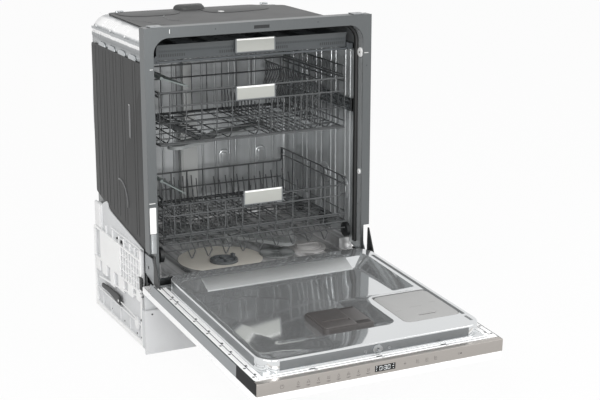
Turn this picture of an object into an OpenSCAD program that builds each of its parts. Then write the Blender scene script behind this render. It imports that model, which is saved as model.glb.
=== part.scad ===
// Fully integrated 60 cm dishwasher, shown with its door let down.
// X runs to the right, Y from the door into the cabinet, Z up from the floor.
// The cabinet is drawn with its front flange at y = 0 and then moved so that
// the origin lies on the floor under the middle of the whole appliance.

/* [Cabinet] */
// Width over the front flange
frame_w = 598; // [594:1:600]
// Height of the front flange above the floor
frame_h = 817; // [812:1:830]
// Depth of the tub behind the front flange
tub_depth = 450; // [440:1:480]
// Set-in of the tub's side walls from the frame's edge
tub_inset = 20; // [19:0.5:21]
// Height of the tub floor above the ground
tub_floor_z = 198; // [192:1:202]
// Wall of the stainless tub
tub_wall = 1.2; // [0.8:0.1:1.6]
// Wall of the sheet-metal frame, brackets and door pans
sheet_t = 1.5; // [1:0.1:2]
// Width of the visible flange at each side of the opening
flange_w = 23.5; // [22:0.5:25]
// Depth of the visible flange above the opening
flange_top = 25; // [22:1:30]
// Thickness of the bitumen sound mats
mat_t = 3; // [2:0.5:4]

/* [Base] */
// Set-in of the base's sides from the frame's edge
base_inset = 4; // [3:0.5:6]
// Wall of the plastic base
base_t = 3; // [2.5:0.5:4]
// Set-back of the kick plate behind the front flange
plinth_y = 50; // [46:1:60]
// Height of the kick plate's top edge
plinth_top = 115; // [105:1:120]
// Radius of a foot's pad
foot_r = 20; // [16:1:22]
// Travel of a levelling foot
foot_travel = 50; // [30:1:60]

/* [Door] */
// Droop of the open door below level, in degrees
droop = 2.75; // [0:0.25:4]
// Height of the hinge pin above the floor
hinge_z = 201; // [199:0.5:204]
// Gap between the closed door and the flange
door_gap = 2; // [2:0.5:4]
// Thickness of the steel door behind the skin
door_t = 28.5; // [26:0.5:32]
// Thickness of the white outer skin
skin_t = 16.5; // [12:0.5:18]
// Length of the skin that hangs below the hinge
skin_tail = 62; // [40:1:64]
// Height of the liner's raised field above the flange
plug_h = 29; // [24:0.5:30]
// Set-in of the raised field from the opening's sides
plug_inset = 4.5; // [4:0.5:8]
// Corner radius of the raised field
plug_r = 40; // [30:1:46]
// Depth of the basin pressed into the raised field
basin_d = 17; // [12:0.5:18]
// Run of the basin's sloping sides
basin_run = 45; // [40:1:48]
// Height of the detergent dispenser above the basin
disp_h = 16; // [14:0.5:17]

/* [Baskets] */
// Thickness of a basket wire
wire_d = 4; // [3:0.5:5]
// Room between the wire baskets and the tub's side walls
rack_side = 27.8; // [26:0.2:32]
// Front of the middle basket and the cutlery tray behind the flange
rack_y = 42; // [40:1:46]
// Room behind the middle basket and the cutlery tray
rack_rear = 42; // [38:1:60]
// Front of the lower basket behind the flange
low_y = 24; // [23:0.5:30]
// Room behind the lower basket
low_rear = 30; // [29:1:50]
// Height of the lower basket's floor above the tub's floor
low_rise = 86; // [82:1:90]
// Height of the lower basket's side walls
low_wall_h = 117; // [100:1:120]
// Drop of the lower basket's front wall below its floor
low_drop = 44; // [30:1:46]
// Drop of the middle basket's floor below the opening
mid_drop = 264; // [258:1:268]
// Height of the middle basket's walls
mid_wall_h = 129; // [120:1:130]
// Radius of a lower basket wheel
wheel_r = 19; // [15:0.5:20]
// Width of a handle plate
handle_w = 106; // [90:1:120]
// Height of a handle plate
handle_h = 35; // [30:1:38]

/* [Spray arms] */
// Room between the lower spray arm's tips and the nearest wall
low_arm_gap = 29; // [27:1:50]
// Room between the middle spray arm's tips and the nearest wall
mid_arm_gap = 39; // [37:1:60]
// Width of a spray arm
arm_w = 46; // [36:1:54]

/* [Fits] */
// Clearance of a folding row above the basket floor
fold_gap = 0.9; // [0.85:0.05:1]
// Gap between pieces that lie against each other
gap = 0.3; // [0.2:0.05:0.4]
// Radial clearance of pins and running bores
run = 0.08; // [0.05:0.01:0.1]

/* [Hidden] */
$fn = 48;
eps = 0.01;

// Opening and tub
frame_half = frame_w / 2;
open_half = frame_half - flange_w;
open_top = frame_h - flange_top;
open_r = 38;
tub_half = frame_half - tub_inset;
tub_in = tub_half - tub_wall;
tub_top = open_top + 3;
tub_r = 45;
base_half = frame_half - base_inset;
tub_front = sheet_t + gap;
sill_z = hinge_z + 23;
notch_z = hinge_z + 75;
notch_half = tub_half + 4;
mat_front = 36;
mat_low = tub_floor_z + 67;

// Seal, set behind the closed liner
seal_y = plug_h - door_gap + 0.4;
seal_d = 14;
seal_in = tub_in - 7.8;
seal_low = sill_z + 2;

// Door
hinge_y = -door_gap;
door_len = frame_h - hinge_z;
plug_half = open_half - plug_inset;
plug_u0 = 30;
plug_u1 = door_len - 36;
basin_w = plug_h - basin_d;
basin_rim = 9;
basin_u0 = plug_u0 + 50;
bay_x = 94;
disp_x = [-70, 54];
disp_u = [plug_u1 - 213, plug_u1 - 110];
lid_t = 2.7;
tank_x0 = 111;
tank_pin_r = 2.1;
tank_u0 = plug_u1 - 230;
tank_u1 = plug_u1 - 69;
tank_hinge_u = tank_u0 + 3;
tank_x1 = plug_half - 17;
fascia_t = 3;
strip_u = door_len - 16;
cap_u = door_len - 105;
skin_u1 = door_len - 4;
arm_t = 2.5;
plate_x = notch_half + 1;
arm_x = plate_x + 2.5 + gap;
wedge_x = arm_x + arm_t + 0.6;
pin_r = 4;
lug_r = 8;

// Route of the wiring harness behind the tub, and its diameter
harness_d = 5;
harness_route = [[-262, 3.2, 262], [-264, 3.2, 268], [-268, 3.4, 290], [-271, 5.4, 320],
    [-273, 6.8, 360], [-275, 7.6, 410], [-276, 8, 460], [-277, 8.4, 520], [-277, 8.4, 580],
    [-276, 8, 620], [-274, 7.4, 650], [-270, 6.8, 672], [-264, 6.4, 690], [-252, 6.2, 706],
    [-238, 6, 716]];
harness = [for (p = harness_route) [p[0], tub_depth + p[1], p[2]]];

// Overall depth, for the origin
door_front = hinge_y - door_len * cos(droop);
rear_y = max([for (p = harness) p[1]]) + harness_d / 2;
y_mid = (door_front + rear_y) / 2;

// Feet and water inlet
foot_screw_r = 6;
foot_front = plinth_y + 52;
foot_rear = tub_depth - 40;
foot_x = base_half - 40;
foot_at = [for (x = [-foot_x, foot_x], y = [foot_front, foot_rear]) [x, y]];
inlet_at = [95 - base_half, 45];
inlet_r = 13;

// Rails
rail_in = seal_in - 0.5;
mid_floor_z = open_top - mid_drop;
mid_rim_z = mid_floor_z + mid_wall_h;
rail_z = mid_floor_z + 54;
rail_h = 34;
rail_t = 4.7;
tray_z = open_top - 66;
tray_h = 44;
tray_rail_z = tray_z + 9;
tray_half = rail_in - 14.5;

// Spray arms and filter
arm_c = [0, tub_depth / 2];
low_arm_len = 2 * (arm_c[1] - low_arm_gap) - 2;
mid_arm_len = 2 * (arm_c[1] - mid_arm_gap) - 2;
duct_x = -24;
duct_w = 47;
filter_c = [-68, 92];
filter_r = 33;
stem_r = 15;
pump_z = tub_floor_z - 92;
salt_c = [frame_half - 127, 104];
floor_t = tub_floor_z + tub_wall;

// Baskets
rack_half = tub_in - rack_side;
rack_y1 = tub_depth - rack_rear;
low_y1 = tub_depth - low_rear;
low_floor_z = tub_floor_z + low_rise;
wheel_y = [low_y + 22, low_y + 151, low_y + 295];
ledge_z = low_floor_z - 28 - wheel_r;
low_rim_z = low_floor_z + low_wall_h;
low_front_z = low_rim_z - 17;
low_step = 7;
low_step_z = low_floor_z + 20;
ledge_x = rack_half - 14;
low_handle_x = 8;

module to_place() translate([0, -y_mid, 0]) children();
module both_sides() { children(); mirror([1, 0, 0]) children(); }

// Moves a shape drawn in the door's own frame (u along the door from the pin,
// w up from the flange) to the let-down door. A point is given as [x, -u, w].
module on_door() translate([0, hinge_y, hinge_z]) rotate([droop, 0, 0]) children();

// A box from its two corners
module block(a, b) translate(a) cube(b - a);

// A rounded rectangle from x0..x1, y0..y1 with four like corners
module round_rect(x0, y0, x1, y1, r) {
    translate([x0 + r, y0]) square([x1 - x0 - 2 * r, y1 - y0]);
    translate([x0, y0 + r]) square([x1 - x0, y1 - y0 - 2 * r]);
    for (x = [x0 + r, x1 - r], y = [y0 + r, y1 - r]) translate([x, y]) circle(r);
}

// An arch standing on z0: half width h, top z1, upper corners of radius r
module arch(h, z0, z1, r) {
    translate([-h, z0]) square([2 * h, z1 - z0 - r]);
    translate([-h + r, z1 - r - eps]) square([2 * h - 2 * r, r + eps]);
    for (s = [-1, 1]) translate([s * (h - r), z1 - r]) circle(r);
}

// Extrudes an XZ drawing along +Y from y0 over d
module along_y(y0, d) translate([0, y0 + d, 0]) rotate([90, 0, 0]) linear_extrude(d) children();
// Extrudes a YZ drawing along +X from x0 over d
module along_x(x0, d) translate([x0, 0, 0]) rotate([90, 0, 90]) linear_extrude(d) children();

// A flat wire grid drawn in 2D: bars at xs and ys inside the frame a..b
module grid(a, b, xs, ys, d = wire_d) {
    for (x = xs) translate([x - d / 2, a[1]]) square([d, b[1] - a[1]]);
    for (y = ys) translate([a[0], y - d / 2]) square([b[0] - a[0], d]);
}
function spaced(a, b, n) = [for (i = [0:n]) a + (b - a) * i / n];

// ---------------------------------------------------------------- cabinet

// Pressed front frame: flange, side returns and the notches for the hinges
module front_frame() color("dimgray") {
    along_y(0, sheet_t) difference() {
        union() {
            translate([-frame_half, notch_z]) square([frame_w, frame_h - notch_z]);
            translate([-notch_half, sill_z - 20]) square([2 * notch_half, notch_z - sill_z + 21]);
        }
        arch(open_half, sill_z, open_top, open_r);
        translate([-20, open_top + 8]) square([40, 8]);
    }
    both_sides() block([frame_half - sheet_t, sheet_t - eps, notch_z], [frame_half, 30, frame_h - 1]);
    block([-frame_half + 2, sheet_t - eps, frame_h - sheet_t], [frame_half - 2, 30, frame_h]);
    both_sides() block([tub_half + gap, sheet_t - eps, notch_z + 4],
        [frame_half - sheet_t + eps, sheet_t * 2, notch_z + 4 + sheet_t]);
}

// Black rubber seal round the two sides and the top of the opening
module door_seal() color("black") along_y(seal_y, seal_d) difference() {
    arch(tub_in - gap, seal_low, tub_top - tub_wall - gap, tub_r - tub_wall);
    arch(seal_in, seal_low - 1, open_top - 5, open_r - 3);
}

// Wrapped stainless tub: two sides, rounded top corners and the rear wall
module tub_shell() color("silver") {
    along_y(tub_front, tub_depth - tub_front) difference() {
        arch(tub_half, floor_t + 14, tub_top, tub_r);
        arch(tub_in, floor_t + 13, tub_top - tub_wall, tub_r - tub_wall);
    }
    along_y(tub_depth - tub_wall, tub_wall)
        arch(tub_half, floor_t + 14, tub_top, tub_r);
    both_sides() for (z = [low_rim_z - 71, low_rim_z + 29, mid_floor_z - 8, mid_rim_z + 3])
        block([tub_in - 3, 80, z], [tub_in + eps, tub_depth - 60, z + 10]);
    for (x = [-210, -150, -90, 60, 120, 180] * tub_half / 279)
        block([x, tub_depth - tub_wall - 3, 300], [x + 14, tub_depth - tub_wall + eps, mid_rim_z - 17]);
}

// Pressed tub floor with its sill, the wheel ledges and the sump well
module tub_floor() color("gray") {
    difference() {
        block([-tub_half + gap, tub_front, tub_floor_z], [tub_half - gap, tub_depth - gap, floor_t + 13.5]);
        block([-tub_in + 2, tub_front + tub_wall, floor_t], [tub_in - 2, tub_depth - 2, floor_t + 30]);
        translate([filter_c[0], filter_c[1], 0]) cylinder(h = 300, r = filter_r + 3 + gap);
        translate([salt_c[0], salt_c[1], 0]) cylinder(h = 300, r = 36);
        translate([arm_c[0], arm_c[1], 0]) cylinder(h = 300, r = 12);
    }
    block([-open_half + 1, tub_front, floor_t + 13], [open_half - 1, tub_front + tub_wall, sill_z]);
    both_sides() difference() {
        block([ledge_x, seal_y + seal_d + gap, floor_t - eps], [tub_in - 2 + eps, tub_depth - 20, ledge_z]);
        block([ledge_x + tub_wall, seal_y + seal_d + gap + tub_wall, floor_t - 1],
            [tub_in - 2 - tub_wall, tub_depth - 20 - tub_wall, ledge_z - tub_wall]);
    }
}

// Bitumen sound mats on the sides, the top and the rear
module bitumen_mats() color("#4a4a4a") {
    both_sides() difference() {
        along_x(tub_half + gap, mat_t) polygon([
            [mat_front, mat_low], [mat_front, tub_top - tub_r - 6],
            [tub_depth - 8, tub_top - tub_r - 6], [tub_depth - 8, mat_low + 65],
            [tub_depth - 115, mat_low + 37], [82, mat_low]]);
        block([tub_half + mat_t - 1, 146, 528], [tub_half + mat_t + 1, 155, 612]);
        translate([tub_half + mat_t - 1.2, tub_depth - 207, 352]) rotate([0, 90, 0]) difference() {
            cylinder(h = 4, r = 62);
            translate([0, 0, -1]) cylinder(h = 6, r = 54);
            block([-80, 0, -2], [80, 80, 6]);
        }
    }
    difference() {
        block([-tub_half + tub_r - 8, mat_front, tub_top + gap],
            [tub_half - tub_r + 8, tub_depth - 6, tub_top + gap + mat_t]);
        translate([0, 222, tub_top]) cylinder(h = 10, r = 9);
        translate([tub_half - tub_r - 48, tub_depth - 6, tub_top]) rotate([0, 0, -22]) cube([90, 40, 10]);
    }
    translate([-46, tub_depth - 60, tub_top + gap + mat_t - 0.5]) cylinder(h = 12, r = 22);
    block([-tub_half + 20, tub_depth + gap, 320],
        [tub_half - 20, tub_depth + mat_t, tub_top - tub_r]);
}

// White plastic base: floor, side walls with ribs and cover, rear tower
module base_side() {
    z0 = 10;
    x1 = base_half;
    y2 = tub_depth - 116;
    // upright side wall, set in above the ledge
    along_x(x1 - 8, base_t) polygon([
        [84, 150], [84, mat_low - 3], [y2, mat_low + 33], [y2 + 6, mat_low + 51], [tub_depth, mat_low + 35],
        [tub_depth + 2, z0], [84, z0]]);
    // outer lower wall with its front post
    block([x1 - 8, 84, 222], [x1, tub_depth, 226]);
    block([x1 - 8, 84, 40], [x1, tub_depth, 43]);
    block([x1 - 8, 84, z0], [x1, tub_depth, z0 + 3]);
    block([x1 - 5.2, tub_depth - 188, 132], [x1, tub_depth - 2, 222.5]);
    for (y = [96, 118, 140, 162, 184, 206, 228])
        block([x1 - 5.2, y, 130], [x1, y + 3, 222.5]);
    block([x1 - 5.2, 84, 126], [x1, tub_depth - 2, 132.5]);
    for (y = spaced(108, tub_depth - 30, 4))
        block([x1 - 5.2, y, 96], [x1 - 1, y + 16, 126.5]);
    block([x1 - 5.2, 84, z0], [x1, 90, 226]);
    block([x1 - 5.2, tub_depth - 6, z0], [x1, tub_depth, 226]);
    for (y = spaced(110, tub_depth - 30, 3)) block([x1 - 5.2, y, z0], [x1 - 1, y + 3, 42]);
    for (y = [100, 150, 200, 250, 300]) block([x1 - 5.2, y, 226 - 1], [x1 - 2, y + 4, 248]);
}
module base_tray() color("whitesmoke") {
    z0 = 10;
    both_sides() base_side();
    difference() {
        union() {
            block([-base_half + 6, plinth_y + 6, z0], [base_half - 6, tub_depth - 1, z0 + base_t]);
            for (p = foot_at) translate([p[0], p[1], z0]) cylinder(h = foot_travel + 16, r = 12);
        }
        for (p = foot_at) translate([p[0], p[1], z0 - 1])
            cylinder(h = foot_travel + 12, r = foot_screw_r + 0.4);
    }
    // front wall and the carrier of the kick plate
    block([-base_half + 8, 84, z0], [base_half - 8, 84 + base_t, pump_z - 22]);
    block([-base_half + 8, plinth_y + 6, z0], [base_half - 8, plinth_y + 9, plinth_top - 8]);
    both_sides() block([base_half - 8, plinth_y + 6, z0], [base_half, 85, plinth_top - 4]);
    // rear wall with the window of the water inlet, and the seat of the tub
    difference() {
        block([-base_half + 8, tub_depth - 4, z0], [base_half - 8, tub_depth - 1, 196]);
        translate([inlet_at[0], tub_depth - 10, inlet_at[1]]) rotate([-90, 0, 0]) cylinder(h = 20, r = 24);
    }
    both_sides() block([tub_half - 30, 86, 150], [base_half - 7, tub_depth - 2, 153]);
    both_sides() for (y = spaced(110, tub_depth - 50, 2))
        block([tub_half - 14, y, 152], [tub_half - 10, y + 20, tub_floor_z - gap]);
}

// Kick plate below the door
module plinth() color("lightgray") difference() {
    block([-frame_half + 1, plinth_y, 2], [frame_half - 1, plinth_y + 6 - gap, plinth_top]);
    block([-frame_half + 4, plinth_y + 2.5, 5], [frame_half - 4, plinth_y + 7, plinth_top - 3]);
    both_sides() translate([frame_half - 20, plinth_y - 1, plinth_top - 10]) rotate([-90, 0, 0])
        cylinder(h = 10, r = 2.5);
}

// Steel plates that carry the hinge pins, one at each side
module hinge_plates() color("gray") both_sides() {
    along_x(plate_x, 2.5) difference() {
        union() {
            translate([hinge_y, hinge_z]) circle(lug_r);
            polygon([[hinge_y - 4, hinge_z + 6.9], [hinge_y + 2, hinge_z - 7.7], [20, hinge_z - 6],
                [70, hinge_z + 8], [70, hinge_z + 57], [20, hinge_z + 57]]);
        }
        translate([46, hinge_z + 27]) circle(4);
    }
    translate([plate_x - 0.5, hinge_y, hinge_z]) rotate([0, 90, 0])
        cylinder(h = arm_x + arm_t - plate_x + 0.8, r = pin_r);
    for (p = [[30, 39], [60, 21]]) translate([tub_half + gap, p[0], hinge_z + p[1]]) rotate([0, 90, 0])
        cylinder(h = plate_x - tub_half - gap + 1, r = 5);
}

// Grey water duct up the rear wall with the coupling of the middle basket
module feed_duct() color("gray") {
    y1 = tub_depth - tub_wall - 3 - gap;
    z0 = tub_floor_z + 37;
    z1 = mid_floor_z - 36;
    block([duct_x - duct_w / 2, y1 - 18, z0], [duct_x + duct_w / 2, y1, z1]);
    block([duct_x - duct_w / 2 + 4, y1 - 21, z0 + 15], [duct_x + duct_w / 2 - 4, y1 - 17.9, z1 - 12]);
    translate([duct_x, y1 - 30, z1 + 14]) rotate([-90, 0, 0]) cylinder(h = 30, r = 15);
    block([duct_x - 12, y1 - 14, z1 - 2], [duct_x + 12, y1, open_top - 14 - gap]);
    block([duct_x - 10, y1 - 12, floor_t + gap], [duct_x + 10, y1 - 2, z0 + 1]);
}

// White caps over the side fixing screws
module screw_caps() color("white") both_sides() for (p = [[open_top - 71, 14], [hinge_z + 214, 8]])
    translate([tub_in - gap, 14, p[0]]) rotate([0, -90, 0]) difference() {
        cylinder(h = 3, r = p[1] * 0.86);
        translate([0, 0, 1]) cylinder(h = 5, r = 2.2);
    }

// Black latch strike in the slot above the opening
module latch_strike() color("black") {
    block([-19.7, -0.8, open_top + 8.3], [19.7, 6, open_top + 15.7]);
    block([-26, sheet_t + gap, open_top + 5], [26, 12, open_top + 19]);
}

// Steel clips that screw up into the worktop
module worktop_clips() color("gray") both_sides() difference() {
    block([250, 3, frame_h + gap], [281, 32, frame_h + gap + 2]);
    translate([265.5, 16, frame_h - 1]) cylinder(h = 6, r = 2.5);
}

// Fixed members of the runners for the middle basket and the cutlery tray
module outer_rails() color("silver") both_sides() {
    difference() {
        block([rail_in + gap, 46, rail_z - rail_h / 2],
            [tub_in - gap - 3, tub_depth - 30, rail_z + rail_h / 2]);
        block([rail_in, 45, rail_z - rail_h / 2 + 5],
            [rail_in + gap + 1.6, tub_depth, rail_z + rail_h / 2 - 5]);
    }
    for (y = [90, tub_depth - 110]) block([tub_in - gap - 3.1, y, rail_z - 8], [tub_in - gap, y + 24, rail_z + 8]);
    block([rail_in + gap, 46, tray_rail_z - 9], [tub_in - gap, tub_depth - 30, tray_rail_z + 6]);
}

// Small fixed sprayer under the tub's roof
module ceiling_sprayer() color("gray") {
    z1 = tub_top - tub_wall - 0.7;
    y = tub_depth - 150;
    translate([duct_x, y, z1 - 17.1]) cylinder(h = 17.1, r = 24);
    translate([duct_x, y, z1 - 23.1]) cylinder(h = 7, r = 10);
    block([duct_x - 9, y + 10, open_top - 14], [duct_x + 9, tub_depth - tub_wall - 4, open_top - 2]);
}

// Flat filter plate round the filter cup
module filter_plate() color("#b8b2a6") difference() {
    intersection() {
        translate([filter_c[0], filter_c[1] + 24, floor_t + gap]) cylinder(h = 2.4, r = 108);
        block([-200, 16, floor_t], [84, 400, floor_t + 10]);
    }
    translate([filter_c[0], filter_c[1], floor_t - 1]) cylinder(h = 10, r = filter_r + gap + 3);
    translate([arm_c[0], arm_c[1], floor_t - 1]) cylinder(h = 10, r = 28);
}

// Removable filter cup: a shallow basket with finger bars on a fine stem
module filter_cup() color("#6b6b6b") translate([filter_c[0], filter_c[1], 0]) {
    difference() {
        union() {
            translate([0, 0, floor_t + 3]) cylinder(h = 6, r = filter_r + 2);
            translate([0, 0, tub_floor_z - 16]) cylinder(h = floor_t + 4 - tub_floor_z + 16, r = filter_r);
            translate([0, 0, tub_floor_z - 60]) cylinder(h = 46, r = stem_r);
        }
        translate([0, 0, tub_floor_z - 14]) cylinder(h = 60, r = filter_r - 4);
        translate([0, 0, tub_floor_z - 58]) cylinder(h = 60, r = stem_r - 2);
    }
    for (a = [20, 200]) rotate([0, 0, a])
        block([filter_r - 6, -5, floor_t + 5], [filter_r + 2, 5, floor_t + 16]);
    block([-filter_r + 3, -1.5, floor_t + 2], [filter_r - 3, 1.5, floor_t + 8]);
    block([-1.5, -filter_r + 3, floor_t + 2], [1.5, filter_r - 3, floor_t + 8]);
}

// Screw cap of the salt container
module salt_cap() color("#a8a29a") translate([salt_c[0], salt_c[1], 0]) {
    translate([0, 0, floor_t + gap]) cylinder(h = 5, r = 50);
    translate([0, 0, floor_t + 5]) cylinder(h = 5, r = 38);
    translate([0, 0, tub_floor_z - 12]) cylinder(h = 20, r = 33.6);
    block([-30, -4, floor_t + 9], [30, 4, floor_t + 15]);
}

// Sump below the filter, with its two pump ports and the spray arm's bearing
module sump() color("#5c6066") difference() {
    union() {
        translate([filter_c[0], filter_c[1], tub_floor_z - 19.5]) cylinder(h = 19.5 - gap, r = filter_r + 6);
        translate([filter_c[0], filter_c[1], pump_z - 18])
            cylinder(h = tub_floor_z - pump_z, r = stem_r + 4);
        translate([filter_c[0], filter_c[1], pump_z]) rotate([-90, 0, -30]) cylinder(h = 80, r = 15);
        translate([filter_c[0] - 70, filter_c[1] + 6, pump_z + 18]) rotate([0, 90, 0])
            cylinder(h = 60, r = 9);
        block([arm_c[0] - 16, filter_c[1] + 26, tub_floor_z - 14],
            [arm_c[0] + 16, arm_c[1] + 16, tub_floor_z - gap]);
        block([filter_c[0], filter_c[1] + 20, tub_floor_z - 14],
            [arm_c[0], filter_c[1] + 44, tub_floor_z - gap]);
    }
    translate([filter_c[0], filter_c[1], tub_floor_z - 17]) cylinder(h = 30, r = filter_r + 0.4);
    translate([filter_c[0], filter_c[1], pump_z - 12]) cylinder(h = 100, r = stem_r + 0.4);
}

// Circulation pump with its motor
module circulation_pump() color("#777777") {
    a = [filter_c[0] + 40, filter_c[1] + 69.3, pump_z];
    translate(a) rotate([-90, 0, -30]) {
        translate([0, 0, gap]) cylinder(h = 42, r = 44);
        translate([0, 0, 42]) cylinder(h = 70, r = 34);
        translate([0, 0, 111]) cylinder(h = 6, r = 14);
    }
    block([a[0] + 12, a[1] + 60, 13 + gap], [a[0] + 42, a[1] + 84, a[2] - 20]);
}

// Drain pump on the other side of the sump
module drain_pump() color("#3c3c3c") {
    translate([filter_c[0] - 70 - gap, filter_c[1] + 6, pump_z + 18]) rotate([0, -90, 0]) {
        cylinder(h = 24, r = 22);
        translate([0, 0, 23]) cylinder(h = 44, r = 18);
    }
    block([filter_c[0] - 130, filter_c[1], 13 + gap], [filter_c[0] - 100, filter_c[1] + 20, pump_z + 8]);
}

// Water softener with the salt container's neck
module softener() color("gainsboro") {
    difference() {
        union() {
            block([salt_c[0] - 62, 92, 60], [salt_c[0] + 62, tub_depth - 160, 150]);
            translate([salt_c[0], salt_c[1], 149]) cylinder(h = tub_floor_z - gap - 149, r = 38);
        }
        translate([salt_c[0], salt_c[1], 110]) cylinder(h = 200, r = 34);
    }
    for (y = [100, tub_depth - 200]) block([salt_c[0] - 10, y, 13 + gap], [salt_c[0] + 10, y + 16, 61]);
}

// Inlet valve at the rear left with its threaded hose tail
module inlet_valve() color("white") {
    block([inlet_at[0] - 20, tub_depth - 75, 13 + gap], [inlet_at[0] + 20, tub_depth - 18, 66]);
    translate([inlet_at[0], tub_depth - 19, inlet_at[1]]) rotate([-90, 0, 0])
        cylinder(h = 19 + mat_t, r = inlet_r);
}

// Wiring harness that bows out behind the rear left edge of the tub
harness_n = len(harness);
function dir_at(i) = let (a = harness[max(i - 1, 0)], b = harness[min(i + 1, harness_n - 1)], d = b - a)
    d / norm(d);
function ring_at(i) = let (t = dir_at(i), u0 = cross(t, [0, 1, 0.1]), u = u0 / norm(u0), v = cross(u, t))
    [for (k = [0:7]) harness[i] + harness_d / 2 * (cos(k * 45) * u + sin(k * 45) * v)];
module harness_cable() color("silver") polyhedron(
    points = [for (i = [0:harness_n - 1]) each ring_at(i)],
    faces = concat([[for (k = [0:7]) k]], [[for (k = [7:-1:0]) (harness_n - 1) * 8 + k]],
        [for (i = [0:harness_n - 2], k = [0:7])
            [i * 8 + k, (i + 1) * 8 + k, (i + 1) * 8 + (k + 1) % 8, i * 8 + (k + 1) % 8]]));

// Levelling feet: a pad with a screw that runs up into the base
module foot(x, y) translate([x, y, 0]) color("#555555") {
    cylinder(h = 7, r = foot_r, $fn = 36);
    translate([0, 0, 6]) cylinder(h = foot_travel + 10, r = foot_screw_r);
    translate([0, 0, 7 - eps]) cylinder(h = 2.7, r = 10, $fn = 6);
}
module foot_front_left() foot(-foot_x, foot_front);
module foot_front_right() foot(foot_x, foot_front);
module feet_rear() for (x = [-foot_x, foot_x]) foot(x, foot_rear);

// A spray arm: flat hollow blade with a hub and a row of jets
module spray_arm(len, hub_r) {
    difference() {
        union() {
            block([-len / 2 + arm_w / 2, -arm_w / 2, 0], [len / 2 - arm_w / 2, arm_w / 2, 9]);
            for (s = [-1, 1]) translate([s * (len / 2 - arm_w / 2), 0, 0]) cylinder(h = 9, r = arm_w / 2);
            translate([0, 0, -2]) cylinder(h = 15, r = hub_r);
        }
        for (s = [-1, 1], k = [0:4]) translate([s * (60 + k * 26), (k % 2 - 0.5) * 14, 5])
            cylinder(h = 10, r = 2);
    }
}
module lower_spray_arm() color("gray") translate([arm_c[0], arm_c[1], 0]) {
    translate([0, 0, ledge_z - 12]) rotate([0, 0, -52]) spray_arm(low_arm_len, 26);
    translate([0, 0, tub_floor_z - gap * 0 + 0.3]) cylinder(h = ledge_z - 13.5 - tub_floor_z, r = 11);
}

// Black slider of the door balance with its pull rod; it slides as the door turns
link_x = base_half - 5 + 0.4;
module balance_link() color("#222222") {
    along_x(link_x, 4) difference() {
        union() {
            translate([258, 76]) circle(12);
            polygon([[258, 88], [258, 64], [392, 68], [392, 80]]);
            translate([392, 74]) circle(6);
        }
        translate([258, 76]) circle(5);
    }
    translate([link_x + 2, 250, 75]) rotate([98.8, 0, 0]) cylinder(h = 134, r = 1.6);
}
module balance_link_right() balance_link();
module balance_link_left() mirror([1, 0, 0]) balance_link();

// Ballast block at the rear of the base
module counterweight() color("#666666")
    block([-150, tub_depth - 74, 13 + gap], [190, tub_depth - 5, 66]);

// ------------------------------------------------------------------- door

// Steel door pan: side walls and the back plate
module outer_door() color("#7b7f80") on_door() {
    block([-frame_half + sheet_t + gap, -door_len + 4, -door_t + gap],
        [frame_half - sheet_t - gap, 12, -door_t + gap + 1.2]);
    both_sides() block([frame_half - sheet_t, -cap_u, -door_t + gap], [frame_half, 4, -gap]);
    both_sides() block([frame_half - sheet_t - 2, -cap_u, -door_t + gap],
        [frame_half - sheet_t + eps, 4, -door_t + gap + 1.2]);
}

// One pocket of the basin: its opening x0..x1, u0..u1 lies level with the
// field's top and its four sides slope in to the basin's floor
module pocket(x0, u0, x1, u1, out, top) {
    r = basin_run - out;
    hull() {
        translate([0, 0, plug_h - eps]) linear_extrude(top)
            round_rect(x0 - out, -u1 - out, x1 + out, -u0 + out, 14);
        translate([0, 0, basin_w - out]) linear_extrude(eps)
            round_rect(x0 + r, -u1 + r, x1 - r, -u0 - r, 14);
    }
}
module basin(out, top) {
    x0 = -plug_half + basin_rim;
    pocket(x0, basin_u0, plug_half - 26, tank_u0 - 6, out, top);
    pocket(x0, basin_u0, -bay_x, plug_u1 - basin_rim, out, top);
    pocket(x0, basin_u0, bay_x, plug_u1 - 75, out, top);
}

// Stainless door liner: flange and a raised field with a basin pressed into it
module inner_liner() color("silver") on_door() difference() {
    union() {
        block([-frame_half + sheet_t + 2 * gap, -strip_u + gap, -1.2],
            [frame_half - sheet_t - 2 * gap, -16, 0]);
        difference() {
            translate([0, 0, -eps]) linear_extrude(plug_h)
                round_rect(-plug_half, -plug_u1, plug_half, -plug_u0, plug_r);
            translate([0, 0, -2]) linear_extrude(plug_h + 2 - 1.2) round_rect(-plug_half + 1.2,
                -plug_u1 + 1.2, plug_half - 1.2, -plug_u0 - 1.2, plug_r - 1.2);
        }
        basin(1.2, eps);
        both_sides() block([frame_half - 10, -door_len + 40, -12], [frame_half - 8.5, -60, -0.5]);
    }
    basin(0, 2);
    translate([0, 0, -2]) linear_extrude(4)
        round_rect(-plug_half + 1.2, -plug_u1 + 1.2, plug_half - 1.2, -plug_u0 - 1.2, plug_r - 1.2);
    // grooves along the flange
    both_sides() block([frame_half - 15, -strip_u + 12, -0.5], [frame_half - 13.6, -60, 1]);
    // wells of the dispenser and the dosing tank
    block([disp_x[0] - gap, -disp_u[1] - gap, -1], [disp_x[1] + gap, -disp_u[0] + gap, plug_h - 4]);
    translate([0, 0, plug_h - 5]) linear_extrude(20) {
        round_rect(tank_x0, -tank_u1, tank_x1, -tank_u0, 15);
        translate([tank_x0, -tank_u0 - 16]) square([tank_x1 - tank_x0, 16]);
    }
    // slots beside the field's right edge
    block([plug_half - 19, -plug_u1 + 80, plug_h - 0.7], [plug_half - 9, -basin_u0 + 10, plug_h + 5]);
    block([plug_half - 21, -plug_u1 + 24, plug_h - 0.7], [plug_half - 13, -plug_u1 + 54, plug_h + 5]);
}

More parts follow.
